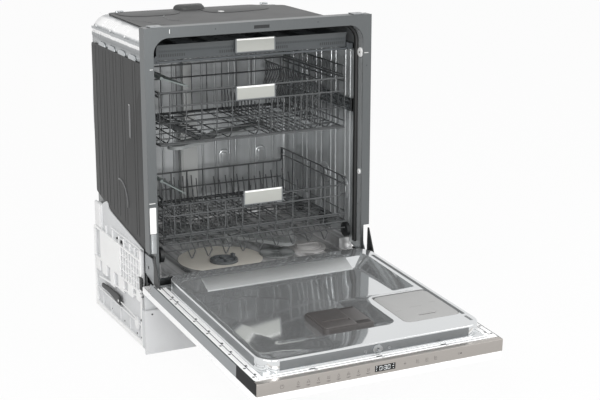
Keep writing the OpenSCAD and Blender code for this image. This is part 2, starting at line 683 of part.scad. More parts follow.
// White outer skin
module door_skin() color("white") on_door() difference() {
    block([-frame_half + 1, -skin_u1, -door_t - skin_t], [frame_half - 1, skin_tail, -door_t]);
    block([-frame_half + 2.2, -skin_u1 + 1.2, -door_t - skin_t + 1.2],
        [frame_half - 2.2, skin_tail - 1.2, -door_t + 1]);
}

// Brushed control fascia on the upper edge of the door
module control_fascia() color("#a09c98") on_door() difference() {
    union() {
        block([-frame_half + 0.3, -door_len, -door_t], [frame_half - 0.3, -door_len + fascia_t, 0]);
        block([-frame_half + 2, -door_len + 1, -1.2], [frame_half - 2, -strip_u, 0]);
        block([-frame_half + 4, -door_len + 1, -door_t + 2], [frame_half - 4, -door_len + 12, -door_t + 3.2]);
    }
    block([-24.5, -door_len - 1, -22], [25.5, -door_len + 2, -7.5]);
    block([-21, -door_len - 1, -19], [22, -door_len + 8, -10.5]);
}

// Black end caps beside the fascia
module end_caps() color("black") on_door() both_sides()
    block([frame_half - sheet_t, -door_len + fascia_t + gap, -door_t + gap],
        [frame_half, -cap_u - gap, -gap]);

// Black display window in the fascia
module display_window() color("black") on_door() {
    block([-24.3, -door_len - 0.01 + 0.2, -21.8], [25.3, -door_len + 1.9, -7.7]);
    block([-20.8, -door_len + 1.8, -18.8], [21.8, -door_len + 9, -10.7]);
}

// Latch with its diamond-shaped mouth in the front wall of the raised field
module latch() color("#c8c8c8") on_door() {
    translate([0, -plug_u1 - gap, 13]) rotate([90, 0, 0]) difference() {
        linear_extrude(2.4) polygon([[-13, 0], [-8, 10], [4, 12], [13, 1], [8, -9], [-5, -9]]);
        translate([0, 1, -1]) cylinder(h = 6, r = 3.4);
    }
    for (x = [-29, 29]) translate([x, -plug_u1 - gap, 12]) rotate([90, 0, 0]) difference() {
        cylinder(h = 0.8, r = 3.2);
        translate([0, 0, -1]) cylinder(h = 4, r = 1.6);
    }
}

// Dispenser body let into the liner, with its detergent cup
module dispenser_body() color("#4d4a48") on_door() difference() {
    top = basin_w + disp_h - lid_t - gap;
    block([disp_x[0], -disp_u[1], basin_w - 22], [disp_x[1], -disp_u[0], top]);
    block([disp_x[0] + 6, -disp_u[1] + 18, basin_w - 19], [disp_x[0] + 40, -disp_u[0] - 14, top + 1]);
}

// Sliding lid over the detergent cup, with its finger recess
module dispenser_lid() color("#5a5654") on_door() difference() {
    top = basin_w + disp_h;
    block([disp_x[0] + 2, -disp_u[1] + 2, top - lid_t], [disp_x[0] + 82, -disp_u[0] - 2, top]);
    block([disp_x[0] + 12, -disp_u[1] + 14, top - 1.5], [disp_x[0] + 70, -disp_u[1] + 28, top + 1]);
}

// Hinged lid of the dosing tank: its plate, its pin along the rear edge and
// its finger slot
module tank_lid() color("lightgray") on_door() {
    difference() {
        translate([0, 0, plug_h - 4.5]) linear_extrude(4.6) difference() {
            round_rect(tank_x0 + gap, -tank_u1 + gap, tank_x1 - gap, -tank_u0 - gap, 14.7);
            translate([tank_x0, -tank_hinge_u]) square([tank_x1 - tank_x0, 10]);
        }
        translate([0, 0, plug_h - 3]) linear_extrude(6)
            round_rect(tank_x0 + 49, -tank_u1 + 26, tank_x0 + 95, -tank_u1 + 34, 3.9);
    }
    translate([tank_x0 + 16, -tank_hinge_u, plug_h - tank_pin_r - gap]) rotate([0, 90, 0])
        cylinder(h = tank_x1 - tank_x0 - 32, r = tank_pin_r);
}

// Steel hinge arms that turn on the pins
module hinge_arms() color("gray") on_door() both_sides() {
    along_x(arm_x, arm_t) difference() {
        union() {
            circle(lug_r);
            polygon([[6, -5], [-6, -6], [-60, -door_t + 4], [-150, -door_t + 4],
                [-150, -door_t + 2], [-52, -door_t + 2], [-12, -24], [8, -24]]);
        }
        circle(pin_r + run);
    }
    block([arm_x - 8, -140, -door_t + 1.8], [arm_x + eps, -70, -door_t + 3]);
}

// Satin strip on the slope at the hinge end of the basin
module threshold_strip() color("#a5a7a6") on_door()
    along_x(-plug_half + basin_rim + basin_run + 15, 2 * plug_half - basin_rim - 56 - 2 * basin_run)
        polygon([[-basin_u0, plug_h + gap], [-basin_u0, plug_h + 1.3],
            [-basin_u0 - basin_run, basin_w + 1.3], [-basin_u0 - basin_run, basin_w + gap]]);

// Dark wedges that close the gap beside the hinges
module door_wedges() color("#505354") on_door() both_sides()
    along_x(wedge_x, 3) polygon([[-3.5, gap], [-3.5, 70], [-8, 70], [-44, gap]]);

// ----------------------------------------------------------- cutlery tray

module cutlery_frame() color("#3a3d3e") {
    // side runners, front and rear bars
    both_sides() block([tray_half + 2, rack_y, tray_rail_z - 9], [rail_in, rack_y1, tray_rail_z + 6]);
    both_sides() block([tray_half - 3, rack_y, tray_z], [tray_half + 2 + eps, rack_y1, tray_z + 18]);
    for (y = [rack_y, rack_y1 - 12]) block([-tray_half, y, tray_z], [tray_half, y + 12, tray_z + 5]);
}
// Plastic insert: sloped front lip, slatted floor and rows of dividers
module cutlery_insert() color("#6f7273") {
    h = tray_h;
    a = tray_half - 3 - gap;
    y0 = rack_y + 6;
    y1 = rack_y1 - 6;
    translate([0, 0, tray_z + 5 + gap]) linear_extrude(2.5) difference() {
        translate([-a, y0]) square([2 * a, y1 - y0]);
        for (x = spaced(-a + 12, a - 26, 22), y = [y0 + 14, y0 + 130, y0 + 246])
            translate([x, y]) square([11, 88]);
    }
    both_sides() block([a - 2.5, y0, tray_z + 5 + gap], [a, y1, tray_z + h - 6]);
    along_x(-a, 2 * a) polygon([[y0, tray_z + 5 + gap], [y0 + 2.5, tray_z + 5 + gap],
        [y0 + 2.5, tray_z + h - 14], [y0 - 3, tray_z + h], [y0 - 6, tray_z + h]]);
    block([-a, y1 - 2.5, tray_z + 5 + gap], [a, y1, tray_z + h - 6]);
    for (x = [-a + 84, -a + 168, a - 84, a - 168])
        block([x, y0 + 2, tray_z + 7], [x + 2, y1 - 2, tray_z + 30]);
    for (x = [-a + 84, a - 84], y = spaced(y0 + 20, y1 - 20, 14))
        block([x - 12, y, tray_z + 29], [x + 14, y + 2, tray_z + 33]);
}
// A hollow handle plate centred on x, its front face at y, standing on z
module handle_plate(x, y, z, h) translate([x, 0, 0]) difference() {
    block([-handle_w / 2, y, z], [handle_w / 2, y + 4, z + h]);
    block([-handle_w / 2 + 2, y + 2, z + 2], [handle_w / 2 - 2, y + 5, z + h - 2]);
}
module tray_handle() color("gainsboro") {
    y = rack_y - 6;
    z = tray_z + 12;
    handle_plate(0, y, z, handle_h);
    both_sides() block([handle_w / 2 - 8, y + 3.9, z], [handle_w / 2 - 3, rack_y - gap, z + 6]);
    both_sides() block([handle_w / 2 - 8, y, tray_z + 1], [handle_w / 2 - 3, rack_y - gap, z + 4]);
}

// --------------------------------------------------------- middle basket

module mid_basket() color("#333637") {
    d = wire_d;
    a = rack_half;
    y0 = rack_y;
    y1 = rack_y1;
    zf = mid_floor_z;
    zr = mid_rim_z;
    // floor
    e = d + 0.2;
    translate([0, 0, zf - d]) linear_extrude(d)
        grid([-a + e, y0 + e], [a - e, y1 - e], spaced(-a + e + d / 2, a - e - d / 2, 16),
            concat([y0 + e + d / 2, y1 - e - d / 2], spaced(y0 + 60, y1 - 60, 3)));
    // front and rear walls, just clear of the floor and sides
    for (y = [y0, y1 - d]) along_y(y, d)
        grid([-a + d + 0.2, zf - d], [a - d - 0.2, zr], spaced(-a + d * 1.5 + 0.2, a - d * 1.5 - 0.2, 14),
            [zf - d / 2, zf + 52, zr - 36, zr - d / 2]);
    // side walls
    both_sides() along_x(a - d, d) grid([y0, zf - d], [y1, zr], spaced(y0 + d / 2, y1 - d / 2, 12),
        [zf - d / 2, zf + 16, zf + 52, zr - 10, zr - d / 2]);
    // runner members carried by the basket
    both_sides() block([a + gap, y0 - 2, rail_z - 11], [rail_in - rail_t - 2 * gap - 0.4, y1, rail_z + 11]);
    // feed pipe of the spray arm
    block([duct_x - 9, arm_c[1] - 40, zf - 22], [duct_x + 9, y1 + 7, zf - d - 0.3]);
    translate([arm_c[0] + duct_x, arm_c[1], zf - 22]) cylinder(h = 22 - d - 0.3, r = 16);
}
// A row of upright tines, drawn flat
module tine_row(n, pitch, h)
    for (i = [0:n - 1]) translate([i * pitch - wire_d / 2, wire_d / 2]) square([wire_d, h - wire_d / 2]);
// The round rod that a folding row turns on, along +X
module pivot_rod(n, pitch) translate([-wire_d * 2, 0, 0]) rotate([0, 90, 0])
    cylinder(h = (n - 1) * pitch + wire_d * 4, r = wire_d / 2);
mid_tine_x = 62;
module mid_tines() color("#333637") {
    z = mid_floor_z + fold_gap;
    along_x(mid_tine_x, wire_d) translate([rack_y + 30, z]) tine_row(15, 22, 58);
    translate([mid_tine_x + wire_d / 2, rack_y + 30, z + wire_d / 2]) rotate([0, 0, 90]) pivot_rod(15, 22);
}
// Ribbed cup shelves at the left, sloping down from their pivots at the side
mid_shelf_p = [-rack_half + wire_d + 5, mid_rim_z + 33];
module cup_shelf(w, l, tilt) rotate([0, tilt, 0]) {
    translate([0, 0, -1.5]) linear_extrude(3) difference() {
        translate([3, 0]) square([w - 3, l]);
        for (x = spaced(8, w - 10, floor((w - 18) / 8)), k = [0:1])
            translate([x, 5 + k * (l / 2 - 2)]) square([4.4, l / 2 - 8]);
    }
    rotate([-90, 0, 0]) cylinder(h = l, r = 4);
}
module mid_shelf() color("#4b4f50") for (y = [rack_y + 4, rack_y + 152])
    translate([mid_shelf_p[0], y, mid_shelf_p[1]]) cup_shelf(72, 140, 20);
// Raised rack along the right side, and the posts of the cup shelves at the left
module post(y, z0, z1) {
    block([-rack_half, y - 2, z0], [-rack_half + wire_d, y + 2, z1 + 4]);
    block([-rack_half, y - 4 + gap, z1 - 4], [-rack_half + wire_d + 9, y + 4 - gap, z1 + 4]);
}
module mid_guard() color("#333637") {
    z0 = mid_rim_z + gap;
    along_x(rack_half - wire_d, wire_d) grid([rack_y + 4, z0], [rack_y1 - 6, z0 + 29],
        spaced(rack_y + 4 + wire_d / 2, rack_y1 - 6 - wire_d / 2, 14), [z0 + wire_d / 2, z0 + 27]);
    for (y = [rack_y + 148, rack_y + 296]) post(y, mid_rim_z + gap, mid_shelf_p[1]);
}
module mid_handle() color("gainsboro") {
    y = rack_y - 6;
    z = mid_rim_z - handle_h;
    handle_plate(0, y, z, handle_h);
    both_sides() block([handle_w / 2 - 8, y + 1.9, z + 4], [handle_w / 2 - 3, rack_y - gap, z + 30]);
}
module mid_spray_arm() color("gray") translate([arm_c[0] + duct_x, arm_c[1], mid_floor_z - 22 - 13 - gap])
    rotate([0, 0, 28]) spray_arm(mid_arm_len, 20);
// Half-travel members of the runners
module mid_rail_members() color("silver") both_sides() difference() {
    block([rail_in - rail_t - gap, 44, rail_z - 14], [rail_in - gap, tub_depth - 34, rail_z + 14]);
    block([rail_in - rail_t - gap - 1, 43, rail_z - 8],
        [rail_in - rail_t - gap + 1.4, tub_depth, rail_z + 8]);
}

// ---------------------------------------------------------- lower basket

// The front wall steps back below low_step_z, clear of the closed door's field,
// and short corner bars join it to the side walls.
module low_basket() color("#333637") {
    d = wire_d;
    a = rack_half;
    y0 = low_y;
    y1 = low_y1;
    zf = low_floor_z;
    zr = low_rim_z;
    e = d + 0.2;
    ys = y0 + low_step;
    af = a - 22;
    translate([0, 0, zf - d]) linear_extrude(d)
        grid([-a + e, ys + e], [a - e, y1 - e], spaced(-a + e + d / 2, a - e - d / 2, 13),
            concat([ys + e + d / 2, y1 - e - d / 2], spaced(ys + 43, y1 - 50, 5)));
    // front wall: the upper panel on its ledge, and the lower panel
    along_y(y0, d) grid([-af, low_step_z], [af, low_front_z], spaced(-af + d / 2, af - d / 2, 12),
        [low_step_z + d / 2, low_front_z - 28, low_front_z - d / 2]);
    block([-af, y0, low_step_z], [af, ys + d, low_step_z + d]);
    along_y(ys, d) grid([-af, zf - low_drop], [af, low_step_z - 0.2], spaced(-af + d / 2, af - d / 2, 12),
        [zf - low_drop + 10, zf - d / 2]);
    both_sides() for (z = [low_step_z + 1, low_front_z - d]) translate([0, 0, z]) linear_extrude(d - 1)
        polygon([[af + 0.2, y0], [af + 0.2, y0 + d], [a - d, ys - 0.2], [a, ys - 0.2], [a, ys - 1]]);
    // rear and side walls
    along_y(y1 - d, d) grid([-a + e, zf - d], [a - e, zr - 38], spaced(-a + e + d / 2, a - e - d / 2, 8),
        [zf - d / 2, zf + 30, zr - 38 - d / 2]);
    both_sides() along_x(a - d, d) grid([ys, zf - d], [y1, zr], spaced(ys + d / 2, y1 - d / 2, 6),
        [zf - d / 2, zf + 25, zr - 20, zr - d / 2]);
    for (y = [y0 + 34, y0 + 194]) post(y, zr + gap, low_shelf_p[1]);
    // fixed tines on the right
    for (y = [y0 + 288, y0 + 328]) along_y(y, d) translate([20, zf + gap]) {
        tine_row(7, 34, 70);
        translate([-d * 2, 0]) square([6 * 34 + d * 4, d]);
    }
    // axles and their holders below the sides
    both_sides() for (y = wheel_y) {
        block([a - d - 4, y - 12, zf - d - 14], [a, y + 12, zf - d - 0.2]);
        translate([a - d - 4, y, ledge_z + wheel_r + gap]) rotate([0, 90, 0]) cylinder(h = d + 4 + 10, r = 3);
        block([a - d - 4, y - 4, ledge_z + wheel_r - 4], [a, y + 4, zf - d - 8]);
    }
}
low_tine_y = low_y + 168;
module low_tines() color("#333637") {
    z = low_floor_z + fold_gap;
    along_y(low_tine_y, wire_d) translate([20, z]) tine_row(7, 34, 80);
    translate([20, low_tine_y + wire_d / 2, z + wire_d / 2]) pivot_rod(7, 34);
}
low_shelf_p = [-rack_half + wire_d + 5, low_rim_z + 35];
module low_shelf() color("#4b4f50")
    translate([low_shelf_p[0], low_y + 38, low_shelf_p[1]]) cup_shelf(74, 152, 32);
module low_handle() color("gainsboro") {
    y = low_y - 10;
    h = handle_h + 2;
    z = low_rim_z - 1 - h;
    handle_plate(low_handle_x, y, z, h);
    translate([low_handle_x, 0, 0]) both_sides()
        block([handle_w / 2 - 8, y + 1.9, z + 4], [handle_w / 2 - 3, low_y - gap, z + h - 18]);
}
// A pair of wheels on one line
module wheel_pair(y) color("#2e3031") both_sides() translate([rack_half + 1, y, ledge_z + wheel_r + gap])
    rotate([0, 90, 0]) difference() {
        union() {
            cylinder(h = 9, r = wheel_r);
            translate([0, 0, -0.6]) cylinder(h = 10, r = 7);
        }
        translate([0, 0, -1]) cylinder(h = 12, r = 3 + run);
    }
module wheels_front() wheel_pair(wheel_y[0]);
module wheels_middle() wheel_pair(wheel_y[1]);
module wheels_rear() wheel_pair(wheel_y[2]);

// ------------------------------------------------------------------ parts
to_place() front_frame();
to_place() door_seal();
to_place() tub_shell();
to_place() tub_floor();
to_place() bitumen_mats();
to_place() base_tray();
to_place() plinth();
to_place() hinge_plates();
to_place() feed_duct();
to_place() screw_caps();
to_place() latch_strike();
to_place() worktop_clips();
to_place() outer_rails();
to_place() ceiling_sprayer();
to_place() filter_plate();
to_place() filter_cup();
to_place() salt_cap();
to_place() sump();
to_place() circulation_pump();
to_place() drain_pump();
to_place() softener();
to_place() inlet_valve();
to_place() harness_cable();
to_place() foot_front_left();
to_place() foot_front_right();
to_place() feet_rear();
to_place() lower_spray_arm();
to_place() balance_link_left();
to_place() balance_link_right();
to_place() counterweight();
to_place() outer_door();
to_place() inner_liner();
to_place() door_skin();
to_place() control_fascia();
to_place() end_caps();
to_place() display_window();
to_place() latch();
to_place() dispenser_body();
to_place() dispenser_lid();
to_place() tank_lid();
to_place() hinge_arms();
to_place() threshold_strip();
to_place() door_wedges();
to_place() cutlery_frame();
to_place() cutlery_insert();
to_place() tray_handle();
to_place() mid_basket();
to_place() mid_tines();
to_place() mid_shelf();
to_place() mid_guard();
to_place() mid_handle();
to_place() mid_spray_arm();
to_place() mid_rail_members();
to_place() low_basket();
to_place() low_tines();
to_place() low_shelf();
to_place() low_handle();
to_place() wheels_front();
to_place() wheels_middle();
to_place() wheels_rear();
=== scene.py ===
import bpy
import bmesh
import math
from mathutils import Matrix, Vector


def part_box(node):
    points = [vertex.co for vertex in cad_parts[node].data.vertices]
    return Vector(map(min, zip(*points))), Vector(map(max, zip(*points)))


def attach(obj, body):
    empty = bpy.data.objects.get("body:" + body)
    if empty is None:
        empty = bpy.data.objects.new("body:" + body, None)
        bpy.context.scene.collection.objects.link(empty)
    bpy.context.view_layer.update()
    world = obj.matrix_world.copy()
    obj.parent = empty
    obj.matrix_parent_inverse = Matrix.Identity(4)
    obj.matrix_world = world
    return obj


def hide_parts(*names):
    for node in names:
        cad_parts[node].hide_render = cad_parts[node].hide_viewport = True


# The built-in dishwasher, dressed over its frame: every place is in metres,
# in the frame's own axes (X right, Y into the cabinet, Z up from the floor).
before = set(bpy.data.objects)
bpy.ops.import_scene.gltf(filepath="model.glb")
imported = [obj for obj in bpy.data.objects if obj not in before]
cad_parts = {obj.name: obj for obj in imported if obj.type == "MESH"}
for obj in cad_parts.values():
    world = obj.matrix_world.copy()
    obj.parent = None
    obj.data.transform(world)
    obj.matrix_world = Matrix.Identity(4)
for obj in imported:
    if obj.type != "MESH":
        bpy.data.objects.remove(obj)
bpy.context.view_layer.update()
mm = 0.001

# ------------------------------------------------------------------ studio
# A seamless pale sweep under an even world that the steel mirrors. Three
# large area lamps light the left, the right and the front, and two small
# ones fill the base and the open tub.

class Wire:
    """A socket of a node tree, with arithmetic that adds Math nodes."""

    def __init__(self, tree, socket):
        self.tree = tree
        self.socket = socket

    def calc(self, operation, *values):
        return self.tree.node("ShaderNodeMath", {"operation": operation}, *values)

    def __add__(self, other):
        return self.calc("ADD", self, other)

    def __sub__(self, other):
        return self.calc("SUBTRACT", self, other)

    def __mul__(self, other):
        return self.calc("MULTIPLY", self, other)

    def __rsub__(self, other):
        return self.calc("SUBTRACT", other, self)

    __radd__ = __add__
    __rmul__ = __mul__


class Finish:
    """The node tree of a new material, or of the world; node() adds any node to it."""

    def __init__(self, name, world=None):
        self.material = world or bpy.data.materials.new(name)
        self.material.use_nodes = True
        self.nodes = self.material.node_tree.nodes
        self.links = self.material.node_tree.links
        self.nodes.clear()

    def node(self, kind, settings, *values, out=0, **named):
        made = self.nodes.new(kind)
        for key, value in settings.items():
            if key == "stops":
                ramp = made.color_ramp
                for index, (place, colour) in enumerate(value):
                    stop = ramp.elements[index] if index < 2 else ramp.elements.new(place)
                    stop.position = place
                    stop.color = colour
            else:
                setattr(made, key, value)
        for key, value in list(enumerate(values)) + list(named.items()):
            socket = made.inputs[key if isinstance(key, int) else key.replace("_", " ")]
            if isinstance(value, Wire):
                self.links.new(value.socket, socket)
            else:
                socket.default_value = value
        return Wire(self, made.outputs[out])

    def surface(self, wire, end="ShaderNodeOutputMaterial"):
        self.links.new(wire.socket, self.nodes.new(end).inputs[0])
        return self.material


def linear(code):
    """A written colour, such as 8A8D8D, as the linear values a socket takes."""
    parts = [int(code[i:i + 2], 16) / 255 for i in (0, 2, 4)]
    return tuple(p / 12.92 if p < 0.04045 else ((p + 0.055) / 1.055) ** 2.4 for p in parts) + (1,)


def seen_directly(tree):
    """1 where the camera, or a mirror or glass before it, looks straight at the thing."""
    path = tree.node("ShaderNodeLightPath", {})
    rays = path.socket.node.outputs
    glossy = Wire(tree, rays["Is Glossy Ray"])
    through = Wire(tree, rays["Is Transmission Ray"])
    return path.calc("MAXIMUM", path.calc("MAXIMUM", path, glossy), through)


def clear_selection():
    bpy.ops.object.select_all(action="DESELECT")


white_sweep = Finish("studio_sweep")
lit = white_sweep.node("ShaderNodeBsdfDiffuse", {}, (0.86, 0.86, 0.86, 1))
plain = white_sweep.node("ShaderNodeEmission", {}, (1, 1, 1, 1), 1.0)
shade = white_sweep.node("ShaderNodeMixShader", {}, seen_directly(white_sweep) * 0.94, lit, plain)
white_sweep.surface(shade)

clear_selection()
bpy.ops.mesh.primitive_plane_add(size=24, location=(0, 0, 0))
floor = bpy.context.object
floor.name = "studio_floor"
floor.data.materials.append(white_sweep.material)

world = bpy.data.worlds.new("studio_light")
bpy.context.scene.world = world
backdrop = Finish("studio_light", world)
strength = seen_directly(backdrop) * 0.42 + 0.58
sky = backdrop.node("ShaderNodeBackground", {}, (1, 1, 1, 1), strength)
backdrop.surface(sky, "ShaderNodeOutputWorld")

for name, place, aim, size, power in (
        ("lamp_left", (-2.6, -1.9, 3.2), (0, 0, 0.4), 2.4, 56),
        ("lamp_right", (2.8, -2.2, 2.4), (0, 0, 0.4), 2.0, 32),
        ("lamp_front", (-0.6, -4.2, 1.3), (0, 0, 0.45), 1.6, 60),
        ("lamp_low", (-1.9, -2.4, 0.25), (-0.1, -0.3, 0.12), 0.9, 9),
        ("lamp_tub", (-0.25, -1.7, 0.95), (0, 0.3, 0.3), 0.5, 5)):
    lamp = bpy.data.objects.new(name, bpy.data.lights.new(name, "AREA"))
    lamp.data.size = size
    lamp.data.energy = power
    lamp.location = place
    lamp.rotation_euler = (Vector(aim) - Vector(place)).to_track_quat("-Z", "Y").to_euler()
    bpy.context.scene.collection.objects.link(lamp)

camera = bpy.data.objects.new("camera", bpy.data.cameras.new("camera"))
camera.location = (-1.3835, -2.9499, 1.2711)
camera.rotation_euler = (math.radians(74.94), 0, math.radians(-26.12))
camera.data.lens = 83.9
camera.data.sensor_width = 36
bpy.context.scene.collection.objects.link(camera)
bpy.context.scene.camera = camera
bpy.context.scene.view_settings.view_transform = "Standard"

# ---------------------------------------------------------- front frame
# The deep-drawn steel frame that the tub is seamed into: satin grey metal
# with fine vertical rolling marks and small screws and latches let in.

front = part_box("front_frame")[0].y


def at(x, y, z):
    """A place given in millimetres from the middle of the frame's front face."""
    return Vector((x * mm, front + y * mm, z * mm))


def object_place(tree):
    """The place on a piece, in its own axes."""
    return tree.node("ShaderNodeTexCoord", {}, out=3)


def noise(tree, where, scale, detail=2.0):
    return tree.node("ShaderNodeTexNoise", {}, Vector=where, Scale=float(scale), Detail=detail)


def tinted(code, change):
    """A written colour made lighter, or darker where the change is below 0."""
    return tuple(min(1, c * (1 + change)) for c in linear(code)[:3]) + (1,)


def clouded(tree, cloud, colour, tint):
    """A base colour that wanders between a darker and a lighter tone of itself."""
    mixed = tree.node("ShaderNodeMix", {"data_type": "RGBA"}, out=2)
    mix = mixed.socket.node
    tree.links.new(cloud.socket, mix.inputs[0])
    mix.inputs[6].default_value = tinted(colour, -2 * tint)
    mix.inputs[7].default_value = tinted(colour, tint)
    return mixed


def steel(name, colour, rough, grain=(1, 1, 1), scale=60, depth=0.02, tint=0.06, patch=0.05, metallic=1.0):
    """Rolled or brushed metal; grain stretches its fine lines along an axis."""
    metal = Finish(name)
    where = object_place(metal)
    drawn = metal.node("ShaderNodeMapping", {}, where, Scale=grain)
    lines = noise(metal, drawn, scale, 4.0)
    cloud = noise(metal, where, 6)
    roughness = rough + (lines - 0.5) * patch + (cloud - 0.5) * patch
    bump = metal.node("ShaderNodeBump", {}, Strength=depth, Distance=0.0004, Height=lines)
    body = metal.node("ShaderNodeBsdfPrincipled", {}, Base_Color=clouded(metal, lines, colour, tint),
                      Metallic=metallic, Roughness=roughness, Normal=bump)
    return metal.surface(body)


def moulded(name, colour, rough, grain=900, depth=0.08, tint=0.05, coat=0.0):
    """Plastic, rubber or paint with a fine moulded grain and a slight cloud of tone."""
    stuff = Finish(name)
    where = object_place(stuff)
    fine = noise(stuff, where, grain)
    cloud = noise(stuff, where, 14, 3.0)
    bump = stuff.node("ShaderNodeBump", {}, Strength=depth, Distance=0.0003, Height=fine)
    body = stuff.node("ShaderNodeBsdfPrincipled", {}, Base_Color=clouded(stuff, cloud, colour, tint),
                      Roughness=rough + (cloud - 0.5) * 0.12, Coat_Weight=coat, Normal=bump)
    return stuff.surface(body)


def dress(node, material):
    """Gives a node of the frame its finish."""
    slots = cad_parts[node].data.materials
    slots.clear()
    slots.append(material)


frame_steel = steel("satin_frame_steel", "6F7273", 0.36, (6, 6, 0.25), 160, 0.03)
galvanised = steel("galvanised_steel", "9A9D9F", 0.34, (1, 1, 1), 40, 0.02)
zinc = steel("zinc_plated_steel", "B4B7B9", 0.26, (8, 0.3, 8), 120, 0.02)
black_plastic = moulded("black_plastic", "17191A", 0.45)
white_plastic = moulded("white_plastic", "E6E7E8", 0.4)
dress("latch_strike", black_plastic)
dress("worktop_clips", galvanised)

# --------------------------------------------------------- inside the tub
# Grey plastic mouldings: the water duct that climbs the tub's rear, and the
# ceiling sprayer and the two spray arms that it feeds.

arm_grey = moulded("spray_arm_plastic", "8C8F8F", 0.45)
dress("feed_duct", moulded("duct_plastic", "BDBFBE", 0.45))
dress("ceiling_sprayer", arm_grey)
dress("lower_spray_arm", arm_grey)
dress("mid_spray_arm", arm_grey)

# ---------------------------------------------------------------- racks
# What the three racks share: steel wire under dark nylon, grey plastic
# shelves and tray frame, and black plastic wheels clipped on short axles.

wire_coat = moulded("wire_coating", "464849", 0.34)
rack_plastic = moulded("rack_plastic", "43474A", 0.45)
shelf_plastic = moulded("shelf_plastic", "6E7674", 0.45)
for name in ("mid_shelf", "low_shelf"):
    dress(name, shelf_plastic)
for name in ("wheels_front", "wheels_middle", "wheels_rear"):
    dress(name, black_plastic)

# ----------------------------------------------------------------- door
# The outer half of the door: a galvanised shell under a white painted skin,
# with black plastic wedges and end caps and a zinc-plated latch.

dress("outer_door", galvanised)
dress("door_skin", moulded("white_skin", "FFFFFF", 0.3, tint=0.0))
dress("door_wedges", black_plastic)
dress("end_caps", moulded("end_cap_plastic", "050506", 0.7))
dress("latch", zinc)

# ------------------------------------------------------------ door liner
# The pressed inner door of bright stainless sheet: a flat flange, a raised
# field with rounded corners, and a basin whose walls slope down from it.

# places on the door: x across, u outwards from the hinge, then the level above its flange
hung = Matrix.Translation(at(0, -2, 201)) @ Matrix.Rotation(math.radians(2.75), 4, "X")


def rounded(corners, share=0.0, inset=0.0, steps=10):
    """An outline's points, counter-clockwise, each corner rounded.

    A corner is its place, its radius, the run of the slope that starts along
    the edge after it, and its radius at the slope's foot; share is how far
    down the slopes the outline lies, and inset a plain offset inwards.
    """
    count = len(corners)
    moved = []
    for i, corner in enumerate(corners):
        x, u, r = corner[:3]
        before, after = corners[i - 1], corners[(i + 1) % count]
        a = Vector((x - before[0], u - before[1])).normalized()
        b = Vector((after[0] - x, after[1] - u)).normalized()
        run_a = share * (before[3] if len(before) > 3 else 0) + inset
        run_b = share * (corner[3] if len(corner) > 3 else 0) + inset
        place = Vector((x, u)) + run_a * Vector((-a.y, a.x)) + run_b * Vector((-b.y, b.x))
        radius = r + share * ((corner[4] if len(corner) > 4 else r) - r)
        moved.append((place, radius))
    points = []
    for i, (place, r) in enumerate(moved):
        a = (moved[i - 1][0] - place).normalized()
        b = (moved[(i + 1) % count][0] - place).normalized()
        middle = place + r * (a + b)
        for s in range(steps + 1):
            t = s / steps * math.pi / 2
            points.append(middle - r * (b * math.cos(t) + a * math.sin(t)))
    return points


def ring(mesh, points, level):
    """Adds one closed loop of points at a level and returns its vertices."""
    verts = [mesh.verts.new((p[0] * mm, -p[1] * mm, level * mm)) for p in points]
    for i, v in enumerate(verts):
        mesh.edges.new((verts[i - 1], v))
    return verts


def loft(mesh, low, high):
    """Closes the wall between two loops that have the same number of points."""
    count = len(low)
    return [mesh.faces.new((low[i], low[(i + 1) % count], high[(i + 1) % count], high[i]))
            for i in range(count)]


def close_flat(mesh, *loops):
    """Fills the flat area between loops, such as a plate and the holes in it."""
    edges = [mesh.edges.get((verts[i - 1], v)) for verts in loops for i, v in enumerate(verts)]
    bmesh.ops.triangle_fill(mesh, use_beauty=True, use_dissolve=False, edges=edges)


def made_piece(name, mesh, place=None):
    """Turns an edit mesh into an object, its place in its own points."""
    bmesh.ops.recalc_face_normals(mesh, faces=mesh.faces)
    data = bpy.data.meshes.new(name)
    mesh.to_mesh(data)
    mesh.free()
    if place:
        data.transform(place)
    piece = bpy.data.objects.new(name, data)
    bpy.context.scene.collection.objects.link(piece)
    return piece


def complete(piece, material, body, smooth=30, stands_for=None):
    """Finish, shading, the body it moves with, and the node it stands for."""
    clear_selection()
    piece.select_set(True)
    bpy.context.view_layer.objects.active = piece
    for modifier in list(piece.modifiers):
        bpy.ops.object.modifier_apply(modifier=modifier.name)
    if smooth:
        bpy.ops.object.shade_smooth_by_angle(angle=math.radians(smooth))
    indices = [face.material_index for face in piece.data.polygons]
    piece.data.materials.clear()
    for one in material if isinstance(material, (list, tuple)) else [material]:
        piece.data.materials.append(one)
    piece.data.polygons.foreach_set("material_index", indices)
    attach(piece, body)
    if stands_for:
        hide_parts(stands_for)
    return piece


def joined(name, parts):
    """Several meshes as one piece."""
    clear_selection()
    for part in parts:
        part.select_set(True)
    bpy.context.view_layer.objects.active = parts[0]
    bpy.ops.object.join()
    parts[0].name = name
    return parts[0]


def spread(first, last, count):
    return [first + (last - first) * i / (count - 1) for i in range(count)]


def outline(x0, u0, x1, u1, r):
    return [(x0, u0, r), (x1, u0, r), (x1, u1, r), (x0, u1, r)]


